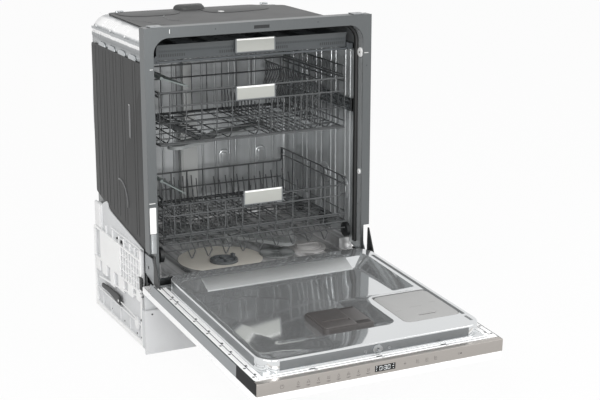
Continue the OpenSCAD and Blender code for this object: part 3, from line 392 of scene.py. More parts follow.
def plate(name, corners, low, high, edge=0.6, place=hung, pockets=(), steps=6):
    """A plate with a rounded upper edge, and pockets let into it."""
    mesh = bmesh.new()
    foot = ring(mesh, rounded(corners, steps=steps), low)
    close_flat(mesh, foot)
    for s in range(4):
        turn = s / 3 * math.pi / 2
        level = high - edge + edge * math.sin(turn)
        upper = ring(mesh, rounded(corners, inset=edge * (1 - math.cos(turn)), steps=steps), level)
        loft(mesh, foot, upper)
        foot = upper
    mouths = []
    for pocket, floor_level in pockets:
        mouth = ring(mesh, rounded(pocket, steps=4), high)
        bottom = ring(mesh, rounded(pocket, inset=0.4, steps=4), floor_level)
        loft(mesh, mouth, bottom)
        close_flat(mesh, bottom)
        mouths.append(mouth)
    close_flat(mesh, foot, *mouths)
    return made_piece(name, mesh, place)


def slab(name, x0, u0, x1, u1, r, *rest, **more):
    """A plate with four equal corners, its sides given in either order."""
    x0, x1 = sorted((x0, x1))
    return plate(name, outline(x0, u0, x1, u1, r), *rest, **more)


def disc(name, x, u, r, *rest, flat=0.05, **more):
    """A round plate; flat is the short straight left between its corners' arcs."""
    return slab(name, x - r, u - r, x + r, u + r, r - flat, *rest, **more)


liner_steel = steel("liner_steel", "D6D8D9", 0.06, (1, 1, 1), 8, 0.0, 0.015, 0.02, 0.8)
wall_steel = steel("liner_wall_steel", "8B8E90", 0.33, (1, 1, 6), 160, 0.02)
field = outline(-271, 30, 271, 580, 40)
basin = [(-262, 80, 24, 45, 18), (245, 80, 24, 45, 18), (245, 344, 22, 45, 14), (94, 344, 22, 45, 14),
         (94, 505, 24, 45, 14), (-94, 505, 22, 105, 30), (-94, 571, 18, 66, 14), (-262, 571, 31, 20, 16)]
well = [(111.3, 348.2, 9), (253.7, 348.2, 9), (253.7, 510.7, 14.7), (111.3, 510.7, 14.7)]
field_level = 29
press = bmesh.new()
rim = ring(press, rounded(field, inset=2.6), field_level)
mouth = ring(press, rounded(basin), field_level)
tank_mouth = ring(press, rounded(well), field_level)
close_flat(press, rim, mouth, tank_mouth)
outer = rim
for inset, level in ((1.4, 28.7), (0.5, 27.9), (0.1, 26.6), (0, 25), (0, 4), (0, 1.6), (-0.8, 0.5), (-2, 0)):
    below = ring(press, rounded(field, inset=inset), level)
    for face in loft(press, below, outer):
        if level == 4 and max(edge.calc_length() for edge in face.edges) > 0.1:
            face.material_index = 1
    outer = below
sheet_edge = outline(-296.9, 16, 296.9, 599.7, 2)
edge = ring(press, rounded(sheet_edge), 0)
close_flat(press, outer, edge)
under = ring(press, rounded(sheet_edge), -1.2)
loft(press, under, edge)
close_flat(press, under)
inner = mouth
slopes = ((0.02, 0.1), (0.05, 0.6), (0.1, 1.6), (0.86, 14.7), (0.94, 16.1), (1.02, 16.75), (1.1, 17))
for share, fall in slopes:
    deeper = ring(press, rounded(basin, share), field_level - fall)
    loft(press, inner, deeper)
    inner = deeper
close_flat(press, inner)
well_floor = ring(press, rounded(well, inset=0.3), 22.5)
loft(press, tank_mouth, well_floor)
close_flat(press, well_floor)
complete(made_piece("door_liner", press, hung), [liner_steel, wall_steel], "door", 40,
         "inner_liner")

# pale folded strips along the flange with dark marks; thin dark slabs paint the shade in the grooves between
# the strips and in the cut-outs
strip_bright = moulded("flange_bright", "FFFFFF", 0.3, tint=0.01)
# dark grey for the marks, and painted shade in the grooves and cut-outs
dark_marks_and_gap_shade = moulded("dark_marks_and_gap_shade", "3F4243", 0.5)
strips = [slab("strip", side * near, 34, side * far, 594, 0.8, 0.05, 0.9, 0.3, steps=2)
          for side in (-1, 1) for near, far in ((273.4, 282.9), (285.4, 295.4))]
strips.append(slab("strip", -290, 584, 290, 590, 0.8, 0.05, 0.8, 0.3, steps=2))
strips.append(slab("strip", -294, 594, 294, 599.4, 0.8, 0.05, 1.0, 0.3, steps=2))
complete(joined("flange_strips", strips), strip_bright, "door")


def groove(x0, u0, x1, u1, low=0.5, high=1.0):
    return slab("groove", x0, u0, x1, u1, 0.5, low, high, 0.1, steps=2)


marks = []
for side in (-1, 1):
    marks.append(groove(side * 283.2, 36, side * 285.1, 592, 0.05, 0.3))
    for u in (96, 128, 242, 318, 392, 441, 520, 566):
        marks.append(groove(side * 279.5, u, side * 283.4, u + 7))
        marks.append(groove(side * 287.5, u + 12, side * 293, u + 17))
marks.append(groove(-292, 591.2, 292, 592.6, 0.05, 0.3))
for x in (-160, 0, 160):
    marks.append(groove(x - 7, 588.6, x + 7, 593.6, 0.3, 1.1))
    marks.append(groove(x + 1, 597.6, x + 9, 599.3, 0.3, 1.2))
complete(joined("flange_grooves", marks), dark_marks_and_gap_shade, "door")

# ribbed drain slots sunk beside the field's right edge
ribbed = moulded("rim_slot_grey", "6E7172", 0.4)
slot_parts = [slab("slot", 252.6, 91, 261.6, 516, 2.5, 28.6, 29.12, 0.1),
              slab("slot", 250.6, 527, 257.6, 555, 1.2, 28.6, 29.12, 0.1)]
complete(joined("rim_slots", slot_parts), ribbed, "door")
ribs = [slab("rib", 253.2, u, 261, u + 2.2, 0.4, 29.1, 29.35, 0.1, steps=1)
        for u in spread(94, 511, 72)]
complete(joined("rim_slot_ribs", ribs), dark_marks_and_gap_shade, "door", 0)

# satin strip held on the basin's slope at the hinge end
slope_fall, slope_run = 17, 45
slope = (hung @ Matrix.Translation((0, -80 * mm, field_level * mm))
         @ Matrix.Rotation(math.atan2(slope_fall, slope_run), 4, "X"))
strip_satin = steel("threshold_satin", "C2C4C4", 0.5, (0.4, 6, 6), 120, 0.02)
complete(slab("threshold_cover", -202, 0.6, 185, 46.8, 2, 0.4, 1.7, 0.5, slope), strip_satin,
         "door", 30, "threshold_strip")

# ------------------------------------------------- dispenser and dosing tank
# A dark moulded dispenser with a sliding lid and a finger recess, and the
# flat grey lid of the dosing tank with its finger slot.

dispenser_dark = moulded("dispenser_plastic", "454241", 0.36, 700, 0.06)
dispenser_lid_dark = moulded("dispenser_lid_plastic", "4F4C4B", 0.33, 700, 0.06)
body_corners = [(-70, 367, 4), (54, 367, 6), (54, 470, 3), (-70, 470, 13)]
disp_body = plate("dispenser_housing", body_corners, -10, 25, 1.2, pockets=[
    (outline(-64.5, 384.5, -30.5, 449, 5), -5)])
complete(disp_body, dispenser_dark, "door", 30, "dispenser_body")
lid_corners = [(-68, 369, 4), (12, 369, 1.5), (12, 468, 1.5), (-68, 468, 11)]
disp_lid = plate("dispenser_cover", lid_corners, 25.3, 28, 1.1, pockets=[
    (outline(-57, 430, 8, 443, 2), 26.2)])
complete(disp_lid, dispenser_lid_dark, "dispenser_lid", 30, "dispenser_lid")
shadow_line = moulded("recess_shadow", "2B2827", 0.5)
wing = joined("dispenser_wing", [
    slab("wing", 16, 371, 50, 376, 1, 24.8, 25.2, 0.2),
    slab("wing", 16, 448, 50, 464, 2, 24.8, 25.2, 0.2)])
complete(wing, shadow_line, "door")

lid_grey = moulded("tank_lid_plastic", "A9A9A8", 0.36, 900, 0.05, 0.02)
tank_lid_piece = slab("tank_cover", 111.9, 351.6, 253.1, 510.1, 14.4, 24.6, 29.15, 0.9, pockets=[
    (outline(160.4, 477, 206.6, 484.8, 3.6), 27.2)], steps=10)
complete(tank_lid_piece, lid_grey, "tank_lid", 30, "tank_lid")
line_and_gap_shade_grey = moulded("lid_line_and_gap_shade", "8C8A88", 0.4)
lines = [slab("line", x, u, x + length, u + 0.9, 0.3, 29.1, 29.25, 0.05, steps=1)
         for x, u, length in ((122, 444, 15), (164, 434, 32), (222, 424, 16))]
complete(joined("tank_cover_lines", lines), line_and_gap_shade_grey, "tank_lid")
# a dark plate on the finger slot's floor paints the shade in the slot
complete(slab("tank_cover_slot_shade", 162, 478.6, 205, 483.2, 2, 27.1, 27.35, 0.1, steps=3),
         moulded("slot_shade_grey", "4F4D4C", 0.5), "tank_lid")
# a thin dark ring round the well paints the shade in the gap round the lid
gap_shade = bmesh.new()
gap_shade_edges = [ring(gap_shade, rounded([(x, u, r + gap) for x, u, r in well], inset=-gap), field_level + 0.06)
              for gap in (0.02, 1.2)]
close_flat(gap_shade, *gap_shade_edges)
complete(made_piece("tank_gap_shade", gap_shade, hung), line_and_gap_shade_grey, "door", 0)

# --------------------------------------------------------- control fascia
# Brushed warm grey steel folded over the door's upper edge, with printed
# symbols, a touch ring and a black display window with pale digits.

face = hung @ Matrix.Translation((0, -613 * mm, 0)) @ Matrix.Rotation(math.pi / 2, 4, "X")
fascia_steel = steel("fascia_steel", "B2ADA8", 0.33, (0.25, 6, 6), 220, 0.03, 0.03)
fascia = joined("fascia_front", [
    slab("fascia", -298.6, 0.2, 298.6, 28.4, 0.9, 0, 3, 0.5, face,
         [(outline(-24.5, 7.5, 25.5, 22, 0.8), 0.6)]),
    slab("fascia", -298, 600.4, 298, 615.6, 0.9, -1.2, -0.02, 0.3)])
complete(fascia, fascia_steel, "door", 30, "control_fascia")
display_glass = moulded("display_glass", "020202", 0.5, 100, 0.0, 0.05, 0.0)
complete(slab("display_glass", -24.3, 7.7, 25.3, 21.8, 0.6, 0.7, 2.75, 0.3, face), display_glass,
         "door", 30, "display_window")
glow = Finish("display_digits")
glow.surface(glow.node("ShaderNodeBsdfPrincipled", {}, Base_Color=linear("E9EDEE"), Roughness=0.4,
                       Emission_Color=linear("E9EDEE"), Emission_Strength=0.5))


def bar(x0, v0, x1, v1, low=2.98, high=3.06):
    return slab("bar", x0, v0, x1, v1, 0.12, low, high, 0.03, face, steps=1)


on_glass = (2.7, 2.82)


def seven_segment(x, segments, height=9.4, width=6.3, v=10.1, t=1.0, gap=0.15):
    """One digit of a seven-segment display, its lit bars by letter."""
    half = height / 2
    spans = {"a": (0, 0, width, t), "b": (width - t, 0, width, half), "c": (width - t, half, width, height),
             "d": (0, height - t, width, height), "e": (0, half, t, height), "f": (0, 0, t, half),
             "g": (0, half - t / 2, width, half + t / 2)}
    lit = []
    for x0, v0, x1, v1 in [spans[letter] for letter in segments]:
        lit.append(bar(x + x0 + gap, v + v0 + gap, x + x1 - gap, v + v1 - gap, *on_glass))
    return lit


digits = seven_segment(-13, "abcdef") + seven_segment(-1.8, "abcdg") + seven_segment(6.6, "abcdef")
digits += [bar(-4.6, v, -3.6, v + 1, *on_glass) for v in (12.6, 16)]
digits += [bar(x, v, x + 1.5, v + 1.2, *on_glass) for x in (-21.5, 20.5) for v in (9.6, 13.9, 18.2)]
digits += [bar(-19.4, 9.8, -18.6, 12.2, *on_glass), bar(17.6, 14, 19.2, 14.8, *on_glass)]
complete(joined("display_digits", digits), glow.material, "door", 0)


def touch_ring(x, v, r, thick=0.55):
    """A printed ring."""
    mesh = bmesh.new()
    turns = spread(0, math.tau, 25)[:-1]
    loops = [ring(mesh, [(x + q * math.cos(a), v + q * math.sin(a)) for a in turns], 3.06)
             for q in (r, r - thick)]
    close_flat(mesh, *loops)
    return made_piece("ring", mesh, face)


# four kinds of symbol: its rings (x, v, radius, width), then its bars (x0, v0, x1, v1)
symbols = (
    (((0, 13.6, 2.6, 0.5),), ((-0.4, 8.4, 0.4, 10.4), (-3, 17, 3, 17.6))),
    ((), ((-3.4, 12.4, 3.4, 13), (-2.6, 15, 2.6, 15.6), (-1.8, 9.6, 1.8, 10.2), (-3.4, 13, -2.8, 17.4),
          (2.8, 13, 3.4, 17.4))),
    (((0, 15.2, 2.2, 0.5), (0, 10.6, 1.7, 0.45)), ((-0.3, 12.2, 0.3, 13.2),)),
    ((), ((-2.8, 9.4, -2.2, 16.6), (2.2, 9.4, 2.8, 16.6), (-2.8, 16, 2.8, 16.6), (-0.3, 10.4, 0.3, 14.6))))
prints = [touch_ring(-242, 14.6, 4.6), bar(-242.4, 10.8, -241.6, 14)]
for i in range(8):
    x = -205 + 23.5 * i
    rings, strokes = symbols[i % 4]
    prints += [touch_ring(x + dx, v, r, thick) for dx, v, r, thick in rings]
    prints += [bar(x + x0, v0, x + x1, v1)
               for x0, v0, x1, v1 in ((-5, 20.4, 5, 21.1), (-3, 22, 3, 22.6)) + strokes]
prints += [bar(45.5, 14.3, 52.5, 15), bar(48.65, 11, 49.35, 18.2)]
for x in (81, 104, 126):
    prints += [touch_ring(x, 14, 2.4, 0.5), bar(x - 3.6, 9.6, x - 3, 17.8), bar(x - 3.6, 18.6, x + 3.6, 19.2)]
prints += [bar(182.4, 13.4, 187, 14), bar(182.4, 16, 187, 16.6), bar(188.6, 13.4, 191.6, 16.6)]
print_grey = moulded("printed_symbols", "3E3B3A", 0.45)
complete(joined("fascia_symbols", prints), print_grey, "door", 0)

# ------------------------------------------------------------------- tub
# Wrapped stainless sheet: an inner skin with pressed upright beads that
# catch the light, and an outer skin seamed round its top corners.

upright = Matrix.Translation(at(0, 0, 0)) @ Matrix.Rotation(math.pi / 2, 4, "X")
faces_left = Matrix.Translation(at(0, 0, 0)) @ Matrix(
    ((0, 0, -1, 0), (-1, 0, 0, 0), (0, 1, 0, 0), (0, 0, 0, 1)))
faces_right = Matrix.Translation(at(0, 0, 0)) @ Matrix(
    ((0, 0, 1, 0), (1, 0, 0, 0), (0, 1, 0, 0), (0, 0, 0, 1)))
faces_up = Matrix.Translation(at(0, 0, 0))


def arch(half, low, top, r):
    return [(-half, -top, r), (half, -top, r), (half, -low, 0.6), (-half, -low, 0.6)]


def steel_with_painted_reflections(name, colour, rough, metallic, reflection_contrast=0.16, along=(1, 1, 0.04)):
    """Bright sheet with painted reflections: soft upright bands of light and dark in its base colour, as
    rolled steel mirrors a room.
    """
    metal = Finish(name)
    where = object_place(metal)
    drawn = metal.node("ShaderNodeMapping", {}, where, Scale=along)
    reflection_bands = noise(metal, drawn, 34, 3.0)
    fine = noise(metal, drawn, 260)
    cloud = noise(metal, where, 5, 3.0)
    tone = (reflection_bands - 0.5) * 1.3 + (cloud - 0.5) * 0.7 + 0.5
    ramp = metal.node("ShaderNodeValToRGB", {"stops": (
        (0.2, tinted(colour, -reflection_contrast)), (0.8, tinted(colour, reflection_contrast)))}, tone)
    bump = metal.node("ShaderNodeBump", {}, Strength=0.25, Distance=0.0012, Height=reflection_bands * 0.7 + fine * 0.3)
    body = metal.node("ShaderNodeBsdfPrincipled", {}, Base_Color=ramp, Metallic=metallic,
                      Roughness=rough + (cloud - 0.5) * 0.1, Normal=bump)
    return metal.surface(body)


inner_steel = steel_with_painted_reflections("tub_inner_steel", "B4B7B8", 0.22, 0.45)

# the outer sheet's steel: highlights and reflections painted in bands of tone up the rounded top corner,
# which starts this high
corner_foot = 0.722
corner = Finish("tub_corner_painted_highlights")
where = object_place(corner)
height = corner.node("ShaderNodeSeparateXYZ", {}, where, out=2)
along = corner.node("ShaderNodeMapping", {}, where, Scale=(0.2, 1, 0.2))
wander = noise(corner, along, 30, 3.0)
painted_highlight_bands = corner.node("ShaderNodeValToRGB", {"stops": (
    (0.02, linear("6D7071")), (0.15, linear("A2A5A6")), (0.3, linear("7C7F81")), (0.42, linear("8E9193")),
    (0.46, linear("F4F4F4")), (0.54, linear("FAFAFA")), (0.58, linear("A0A3A5")), (0.68, linear("AFB2B4")),
    (0.74, linear("FFFFFF")), (0.95, linear("FDFDFD")), (1.0, linear("B4B6B8")))},
    (height - corner_foot) * 14.0 + (wander - 0.5) * 0.08)
corner_bump = corner.node("ShaderNodeBump", {}, Strength=0.2, Distance=0.001, Height=wander)
outer_steel_painted_highlights = corner.surface(corner.node("ShaderNodeBsdfPrincipled", {}, Base_Color=painted_highlight_bands, Metallic=0.45,
                                         Roughness=0.28 + (wander - 0.5) * 0.1, Normal=corner_bump))


def open_below(mesh, z):
    """Takes away the faces that lie wholly below a height."""
    lowest = [f for f in mesh.faces if all(v.co.y < z * mm for v in f.verts)]
    bmesh.ops.delete(mesh, geom=lowest, context="FACES")


def tub_skin(name, outlines):
    """One drawn sheet, open in front and below, from its outline at each depth."""
    skin = bmesh.new()
    loops = [ring(skin, points, -y) for points, y in outlines]
    for near, far in zip(loops, loops[1:]):
        loft(skin, near, far)
    close_flat(skin, loops[-1])
    open_below(skin, 226)
    return made_piece(name, skin, upright)


inner_arch = arch(277.8, 213.5, 793.8, 43.8)
inner_skin = [(rounded(inner_arch, inset=inset), y)
              for inset, y in ((0, 2.2), (0, 434), (1.2, 440.5), (4, 445), (8, 447.6), (13, 448.5))]
complete(tub_skin("tub_inner_skin", inner_skin), inner_steel, "cabinet", 50, "tub_shell")
outer_arch = arch(279, 213.5, 795, 45)
seam_steps = ((-1, 0), (-0.4, 0.9), (0.6, 0.9), (1.2, 0))
outer_skin = [(rounded(arch(278, 213.5, 794, 44)), 2.0), (rounded(outer_arch), 2.0)]
outer_skin += [(rounded(outer_arch, inset=inset), y + step)
               for y in (34, 118, 204, 292, 382) for step, inset in seam_steps]
outer_skin += [(rounded(outer_arch, inset=inset), y) for inset, y in ((0, 444), (1.4, 448.5), (5, 449.9))]
complete(tub_skin("tub_outer_skin", outer_skin), outer_steel_painted_highlights, "cabinet", 40)

# the side walls, right and then left, seen from inside the tub and from outside
inner_sides = ((1, faces_left), (-1, faces_right))
outer_sides = ((1, faces_right), (-1, faces_left))

beads = []
for x in (-246, -208, -150, -92, -60, 24, 62, 104, 122, 166, 182, 236):
    beads.append(slab("bead", x - 3.4, -742, x + 3.4, -262, 3.3, -449, -445.8, 2.6, upright, steps=3))
for side, place in inner_sides:
    for y in (70, 96, 150, 176, 232, 262, 318, 346, 402):
        a = -y * side
        beads.append(slab("bead", a - 3, -740, a + 3, -262, 2.9, -278, -275.6, 2, place, steps=3))
for x in (86, 196):
    beads.append(slab("boss", x - 17, -404, x + 17, -352, 16.5, -449, -444.8, 3.4, upright))
    beads.append(slab("boss", x - 9, -395, x + 9, -361, 8.8, -445, -442.8, 1.8, upright))
for y, z in ((206, 372), (96, 352)):
    beads.append(slab("boss", -y - 26, -z - 28, -y + 26, -z + 28, 25.8, -278, -274.6, 2.6, faces_left))
    beads.append(slab("boss", -y - 12, -z - 14, -y + 12, -z + 14, 11.8, -275, -272.8, 1.6, faces_left))
complete(joined("tub_beads", beads), inner_steel, "cabinet", 40)

# the long folded step below each top corner, with its seam screws
folds = []
for side, place in outer_sides:
    folds.append(slab("fold", 6 * side, -768, 446 * side, -759, 1, 278.6, 280.4, 0.8, place, steps=2))
    folds.append(slab("fold", 6 * side, -756, 446 * side, -744, 1, 278.6, 279.8, 0.6, place, steps=2))
    for y in (26, 66, 190, 300, 410):
        folds.append(disc("screw", y * side, -771, 4, 278.6, 281.2, 1.2, place, flat=0.1, steps=3))
complete(joined("tub_corner_folds", folds), outer_steel_painted_highlights, "cabinet")
dress("outer_rails", zinc)
dress("mid_rail_members", zinc)

# black rubber seal: a rounded bead with a lip round the opening
seal_rubber = moulded("seal_rubber", "0A0B0B", 0.55)
bead = bmesh.new()
loops = []
for half, top, r, y in ((277.2, 792.4, 42.8, 27.6), (276, 791, 41.6, 26), (272.5, 788, 38.5, 25.8),
                        (269.4, 786.4, 36.4, 27.6), (269.2, 786.2, 36.2, 30), (271.2, 788.2, 38.2, 33),
                        (269.6, 786.6, 36.6, 36.5), (271.5, 789, 39, 40.4), (277.2, 792.4, 42.8, 41.2)):
    loops.append(ring(bead, rounded(arch(half, 226, top, r)), -y))
for near, far in zip(loops, loops[1:] + loops[:1]):
    loft(bead, near, far)
open_below(bead, 227)
bmesh.ops.holes_fill(bead, edges=bead.edges)
complete(made_piece("door_seal_bead", bead, upright), seal_rubber, "cabinet", 40, "door_seal")

# white screw caps and small pressed details on the front frame
cap_white = moulded("cap_white", "EDEDEC", 0.4)
caps = []
for side, place in inner_sides:
    for z, r in ((721, 12), (415, 6.9)):
        caps.append(disc("cap", -16 * side, -z, r, -277.6, -274.2, 1.6, place))
complete(joined("side_caps", caps), cap_white, "cabinet", 30, "screw_caps")
spots = []
for side, place in inner_sides:
    for z, r in ((721, 2.6), (415, 1.8), (330, 1.6)):
        spots.append(disc("spot", -16 * side, -z, r, -274.4, -274.0, 0.1, place))
for x, z in ((-287.5, 347), (286, 690), (-120, 806), (150, 806)):
    spots.append(disc("spot", x, -z, 1.3, 0.55, 0.7, 0.05, upright, steps=3))
complete(joined("cap_sockets", spots), black_plastic, "cabinet")
cover = joined("frame_covers", [
    slab("cover", -296, -390, -280, -325.5, 1.5, 0.05, 0.62, 0.4, upright),
    slab("cover", -296.5, -401, -281, -399.4, 0.5, 0.02, 0.2, 0.1, upright, steps=1),
    slab("cover", -286, -721.3, -278, -720.1, 0.4, 0.02, 0.2, 0.1, upright, steps=1),
    slab("cover", 279, -722, 291, -720.8, 0.4, 0.02, 0.2, 0.1, upright, steps=1),
    slab("cover", -235.6, -812, -234.4, -802, 0.4, 0.02, 0.2, 0.1, upright, steps=1)])
complete(cover, cap_white, "cabinet")
under_cover = slab("lower_cover", -294, -324, -281, -276, 1.5, 0.05, 0.5, 0.3, upright)
complete(under_cover, steel("cover_steel", "BFC2C3", 0.3), "cabinet")

# ---------------------------------------------------------- cutlery tray
# A slatted plastic tray on a dark frame: a smooth sloping lip in front, two
# rows of slots below it, and combs that keep the cutlery apart.

tray_wall = moulded("tray_wall_plastic", "45494B", 0.45)
tray_lip = moulded("tray_lip_plastic", "4C4F50", 0.4)
slot_shade = moulded("slot_shade", "2A2C2D", 0.6)
side_profile = ((47.6, 733), (47.6, 757), (44, 765), (42, 769.4), (43.2, 770), (45.4, 769.2), (49.4, 758),
                (50, 733))
lip = bmesh.new()
loops = [[lip.verts.new(at(x, y, z)) for y, z in side_profile] for x in (-251.6, -240, 240, 251.6)]
for left, right in zip(loops, loops[1:]):
    loft(lip, left, right)
lip.faces.new(loops[0])
lip.faces.new(loops[-1])
for part in lip.faces:
    middle = part.calc_center_median()
    if middle.z < 756.5 * mm and middle.y < front + 48.5 * mm:
        part.material_index = 1
complete(made_piece("tray_front", lip), [tray_lip, tray_wall], "tray", 35)


def boards(name, sizes, edge=0.4):
    """Plain slats of one moulding, given by their lowest and highest corners."""
    clear_selection()
    bpy.ops.mesh.primitive_cube_add(size=1, calc_uvs=False)
    parts = [bpy.context.object]
    for _ in sizes[1:]:
        copy = parts[0].copy()
        copy.data = parts[0].data.copy()
        bpy.context.scene.collection.objects.link(copy)
        parts.append(copy)
    for part, (low_corner, high_corner) in zip(parts, sizes):
        a, b = at(*low_corner), at(*high_corner)
        part.data.transform(Matrix.LocRotScale((a + b) / 2, None, b - a))
    piece = joined(name, parts)
    if edge:
        soften = piece.modifiers.new("edges", "BEVEL")
        soften.width = edge * mm
        soften.segments = 1
    return piece


# thin dark plates on the front wall paint the shade seen through the two rows of slots
cells = []
for row, z0, z1, count, w in ((0, 751, 755, 108, 1.4), (1, 740, 747, 86, 2.6)):
    for x in spread(-244, 244, count):
        if abs(x) > 54 and (row == 0 or int(x / 90) % 2 == 0 or abs(x) > 180):
            cells.append(((x - w / 2, 47.25, z0), (x + w / 2, 47.75, z1)))
complete(boards("tray_slot_shade", cells, 0), slot_shade, "tray", 0)

slats = [((x, 50, 731.4), (x + 5.4, 400, 733.8)) for x in spread(-248, 242, 40)]
slats += [((-251.6, y, 731.4), (251.6, y + 6, 733.6)) for y in (62, 130, 198, 266, 334, 394)]
slats += [((-251.7, 48.4, 731.4), (-249, 402, 764)), ((249, 48.4, 731.4), (251.7, 402, 764)),
          ((-251.7, 399.5, 731.4), (251.7, 402, 764))]
slats += [((x, 52, 733), (x + 2, 398, 757)) for x in (-168, -84, 84, 166)]
for x0 in (-240, -156, 96, 178):
    slats += [((x0, y, 733), (x0 + 56, y + 1.8, 752)) for y in spread(60, 392, 20)]
for x0 in (-70, -22, 26):
    slats += [((x0, y, 733), (x0 + 40, y + 1.8, 748)) for y in spread(66, 392, 15)]
complete(boards("tray_combs", slats), tray_wall, "tray", 0, "cutlery_insert")
rails = [((252, 42, 726), (257.3, 408, 744)), ((-257.3, 42, 726), (-252, 408, 744)),
         ((257, 42, 726), (269, 408, 741)), ((-269, 42, 726), (-257, 408, 741)),
         ((-255, 42, 726), (255, 47, 731)), ((-255, 396, 726), (255, 408, 731))]
complete(boards("tray_frame", rails), rack_plastic, "tray", 30, "cutlery_frame")

# --------------------------------------------------------- handle plates
# Pale pearl plates with a painted highlight along the upper edge, held in
# grey surrounds that clip to the tray and to the two baskets.

pearl = moulded("pearl_plate", "A2A39E", 0.3, 1200, 0.02, 0.015)
pearl_edge_highlight = moulded("pearl_edge_highlight", "F4F4F1", 0.25, 1200, 0.02, 0.01)
surround = moulded("handle_surround", "6F7274", 0.4)
for name, node, x, y, low_z, high_z, foot, body in (
        ("tray", "tray_handle", 0, 36, 738, 773, 2.7, "tray"),
        ("middle", "mid_handle", 0, 36, 622, 657, 6.7, "mid"),
        ("lower", "low_handle", 8, 14, 363, 400, 6.7, "low")):
    back = slab("back", x - 53, -high_z, x + 53, -low_z, 1.6, -y - 4, -y - 0.9, 0.8, upright)
    feet = boards("feet", [((c - 2.5, y + 3, low_z + 4), (c + 2.5, y + 3 + foot, high_z - 6))
                           for c in (x - 47.5, x + 47.5)])
    complete(joined(name + "_handle_back", [back, feet]), surround, body, 30, node)
    complete(slab(name + "_handle_plate", x - 50, -high_z + 2, x + 49.4, -low_z - 2.6, 1.2,
                   -y - 1.2, -y - 0.1, 0.7, upright), pearl, body)
    # a near-white strip along the top edge paints the plate's highlight
    complete(slab(name + "_handle_edge", x - 50, -high_z + 0.8, x + 49.4, -high_z + 5, 1.1,
                   -y - 1.2, -y, 0.9, upright), pearl_edge_highlight, body)

# ---------------------------------------------------------- lower basket
# Bent and welded steel wire under dark nylon: a stepped front panel whose
# floor wires dip in points, two side rails, and rows of plate tines.


def bent(points, radius=7, steps=3):
    """A wire's route with each corner turned on a small radius."""
    route = [Vector(points[0])]
    for before, corner, after in zip(points, points[1:], points[2:]):
        before, corner, after = Vector(before), Vector(corner), Vector(after)
        back, on = before - corner, after - corner
        reach = min(radius, back.length * 0.45, on.length * 0.45)
        a, b = corner + back.normalized() * reach, corner + on.normalized() * reach
        for s in range(steps + 1):
            t = s / steps
            route.append(a * (1 - t) ** 2 + corner * 2 * t * (1 - t) + b * t ** 2)
    route.append(Vector(points[-1]))
    return route


def wirework(name, runs):
    """Round wires of one weldment; each run is its thickness and its corners."""
    curve = bpy.data.curves.new(name, "CURVE")
    curve.dimensions = "3D"
    curve.bevel_depth = mm
    curve.bevel_resolution = 1
    curve.use_fill_caps = True
    for thickness, points in runs:
        route = bent(points)
        spline = curve.splines.new("POLY")
        spline.points.add(len(route) - 1)
        for point, p in zip(spline.points, route):
            point.co = (*at(*p), 1)
            point.radius = thickness / 2
    piece = bpy.data.objects.new(name, curve)
    bpy.context.scene.collection.objects.link(piece)
    clear_selection()
    piece.select_set(True)
    bpy.context.view_layer.objects.active = piece
    bpy.ops.object.convert(target="MESH")
    return bpy.context.object


low = []
for side in (-248, 248):
    inwards = -side / 248
    for d, y0, y1, z in ((4, 33, 420, 398), (4, 33, 420, 379), (3.4, 36, 418, 309), (5, 36, 418, 283)):
        low.append((d, [(side, y0, z), (side, y1, z)]))
    for y in (40, 78, 158, 235, 281, 345, 410):
        low.append((3.4, [(side, y, 398), (side, y, 283), (side + 30 * inwards, y, 281)]))
    low.append((4.4, [(side, 418, 398), (side, 418, 361), (side + 14 * inwards, 420, 361)]))
low.append((4.4, [(-248, 60, 397), (-247, 38, 388), (-228, 26, 382), (228, 26, 382), (247, 38, 388),
                  (248, 60, 397)]))
low.append((4, [(-247, 36, 357), (-228, 26, 355), (228, 26, 355), (247, 36, 357)]))
for d, y, z in ((4, 30, 306), (3.4, 32, 301), (4.4, 33, 283), (3.4, 33, 266),
                (4.4, 418, 361), (3.8, 418, 316), (4, 418, 283)):
    low.append((d, [(-246, y, z), (246, y, z)]))
for x in (-224, -181, -137, -90, -44, 2, 48, 94, 139, 184, 226):
    low.append((3.4, [(x, 26, 382), (x, 26, 312), (x, 33, 300), (x, 33, 283)]))
    low.append((3.4, [(x + 8, 60, 281), (x + 8, 418, 281), (x + 8, 418, 361)]))
for x in (-181, -137, -90, -44, 2, 48, 94, 139, 184):
    low.append((3.4, [(x - 14, 35, 283), (x - 6, 34, 262), (x + 3, 33, 238), (x + 13, 33, 258)]))
    low.append((3.4, [(x + 13, 34, 257), (x + 11, 45, 270), (x + 8, 60, 281)]))
for x in (-203, -159, -113, -67, -21, 25, 71, 117, 162, 206):
    low.append((3.4, [(x, 34, 266), (x, 46, 279), (x, 418, 279)]))
for y in (62, 96, 124, 168, 206, 236, 262, 300, 330, 372, 402):
    low.append((3.6, [(-246, y, 283), (246, y, 283)]))
for y in (92, 128, 250, 286, 352, 388):
    for x in spread(-206, -30, 8):
        low.append((3, [(x, y, 284), (x, y + 5, 300), (x, y + 15, 352)]))
tine_row = range(20, 225, 34)
for y in (312, 352):
    low.append((3.6, [(12, y + 2, 287), (232, y + 2, 287)]))
    for x in tine_row:
        low.append((3.2, [(x, y + 2, 286), (x, y + 2, 320), (x - 2, y + 8, 353)]))
for y in (58, 218):
    low.append((4, [(-248, y, 398), (-248, y, 440)]))
complete(wirework("lower_basket_wires", low), wire_coat, "low", 60, "low_basket")

folding = [(4, [(12, 194, 286.8), (232, 194, 286.8)])]
for x in tine_row:
    folding.append((3.2, [(x, 194, 287), (x, 194, 322), (x, 195.6, 363)]))
complete(wirework("lower_folding_tines", folding), wire_coat, "low_tines", 60, "low_tines")
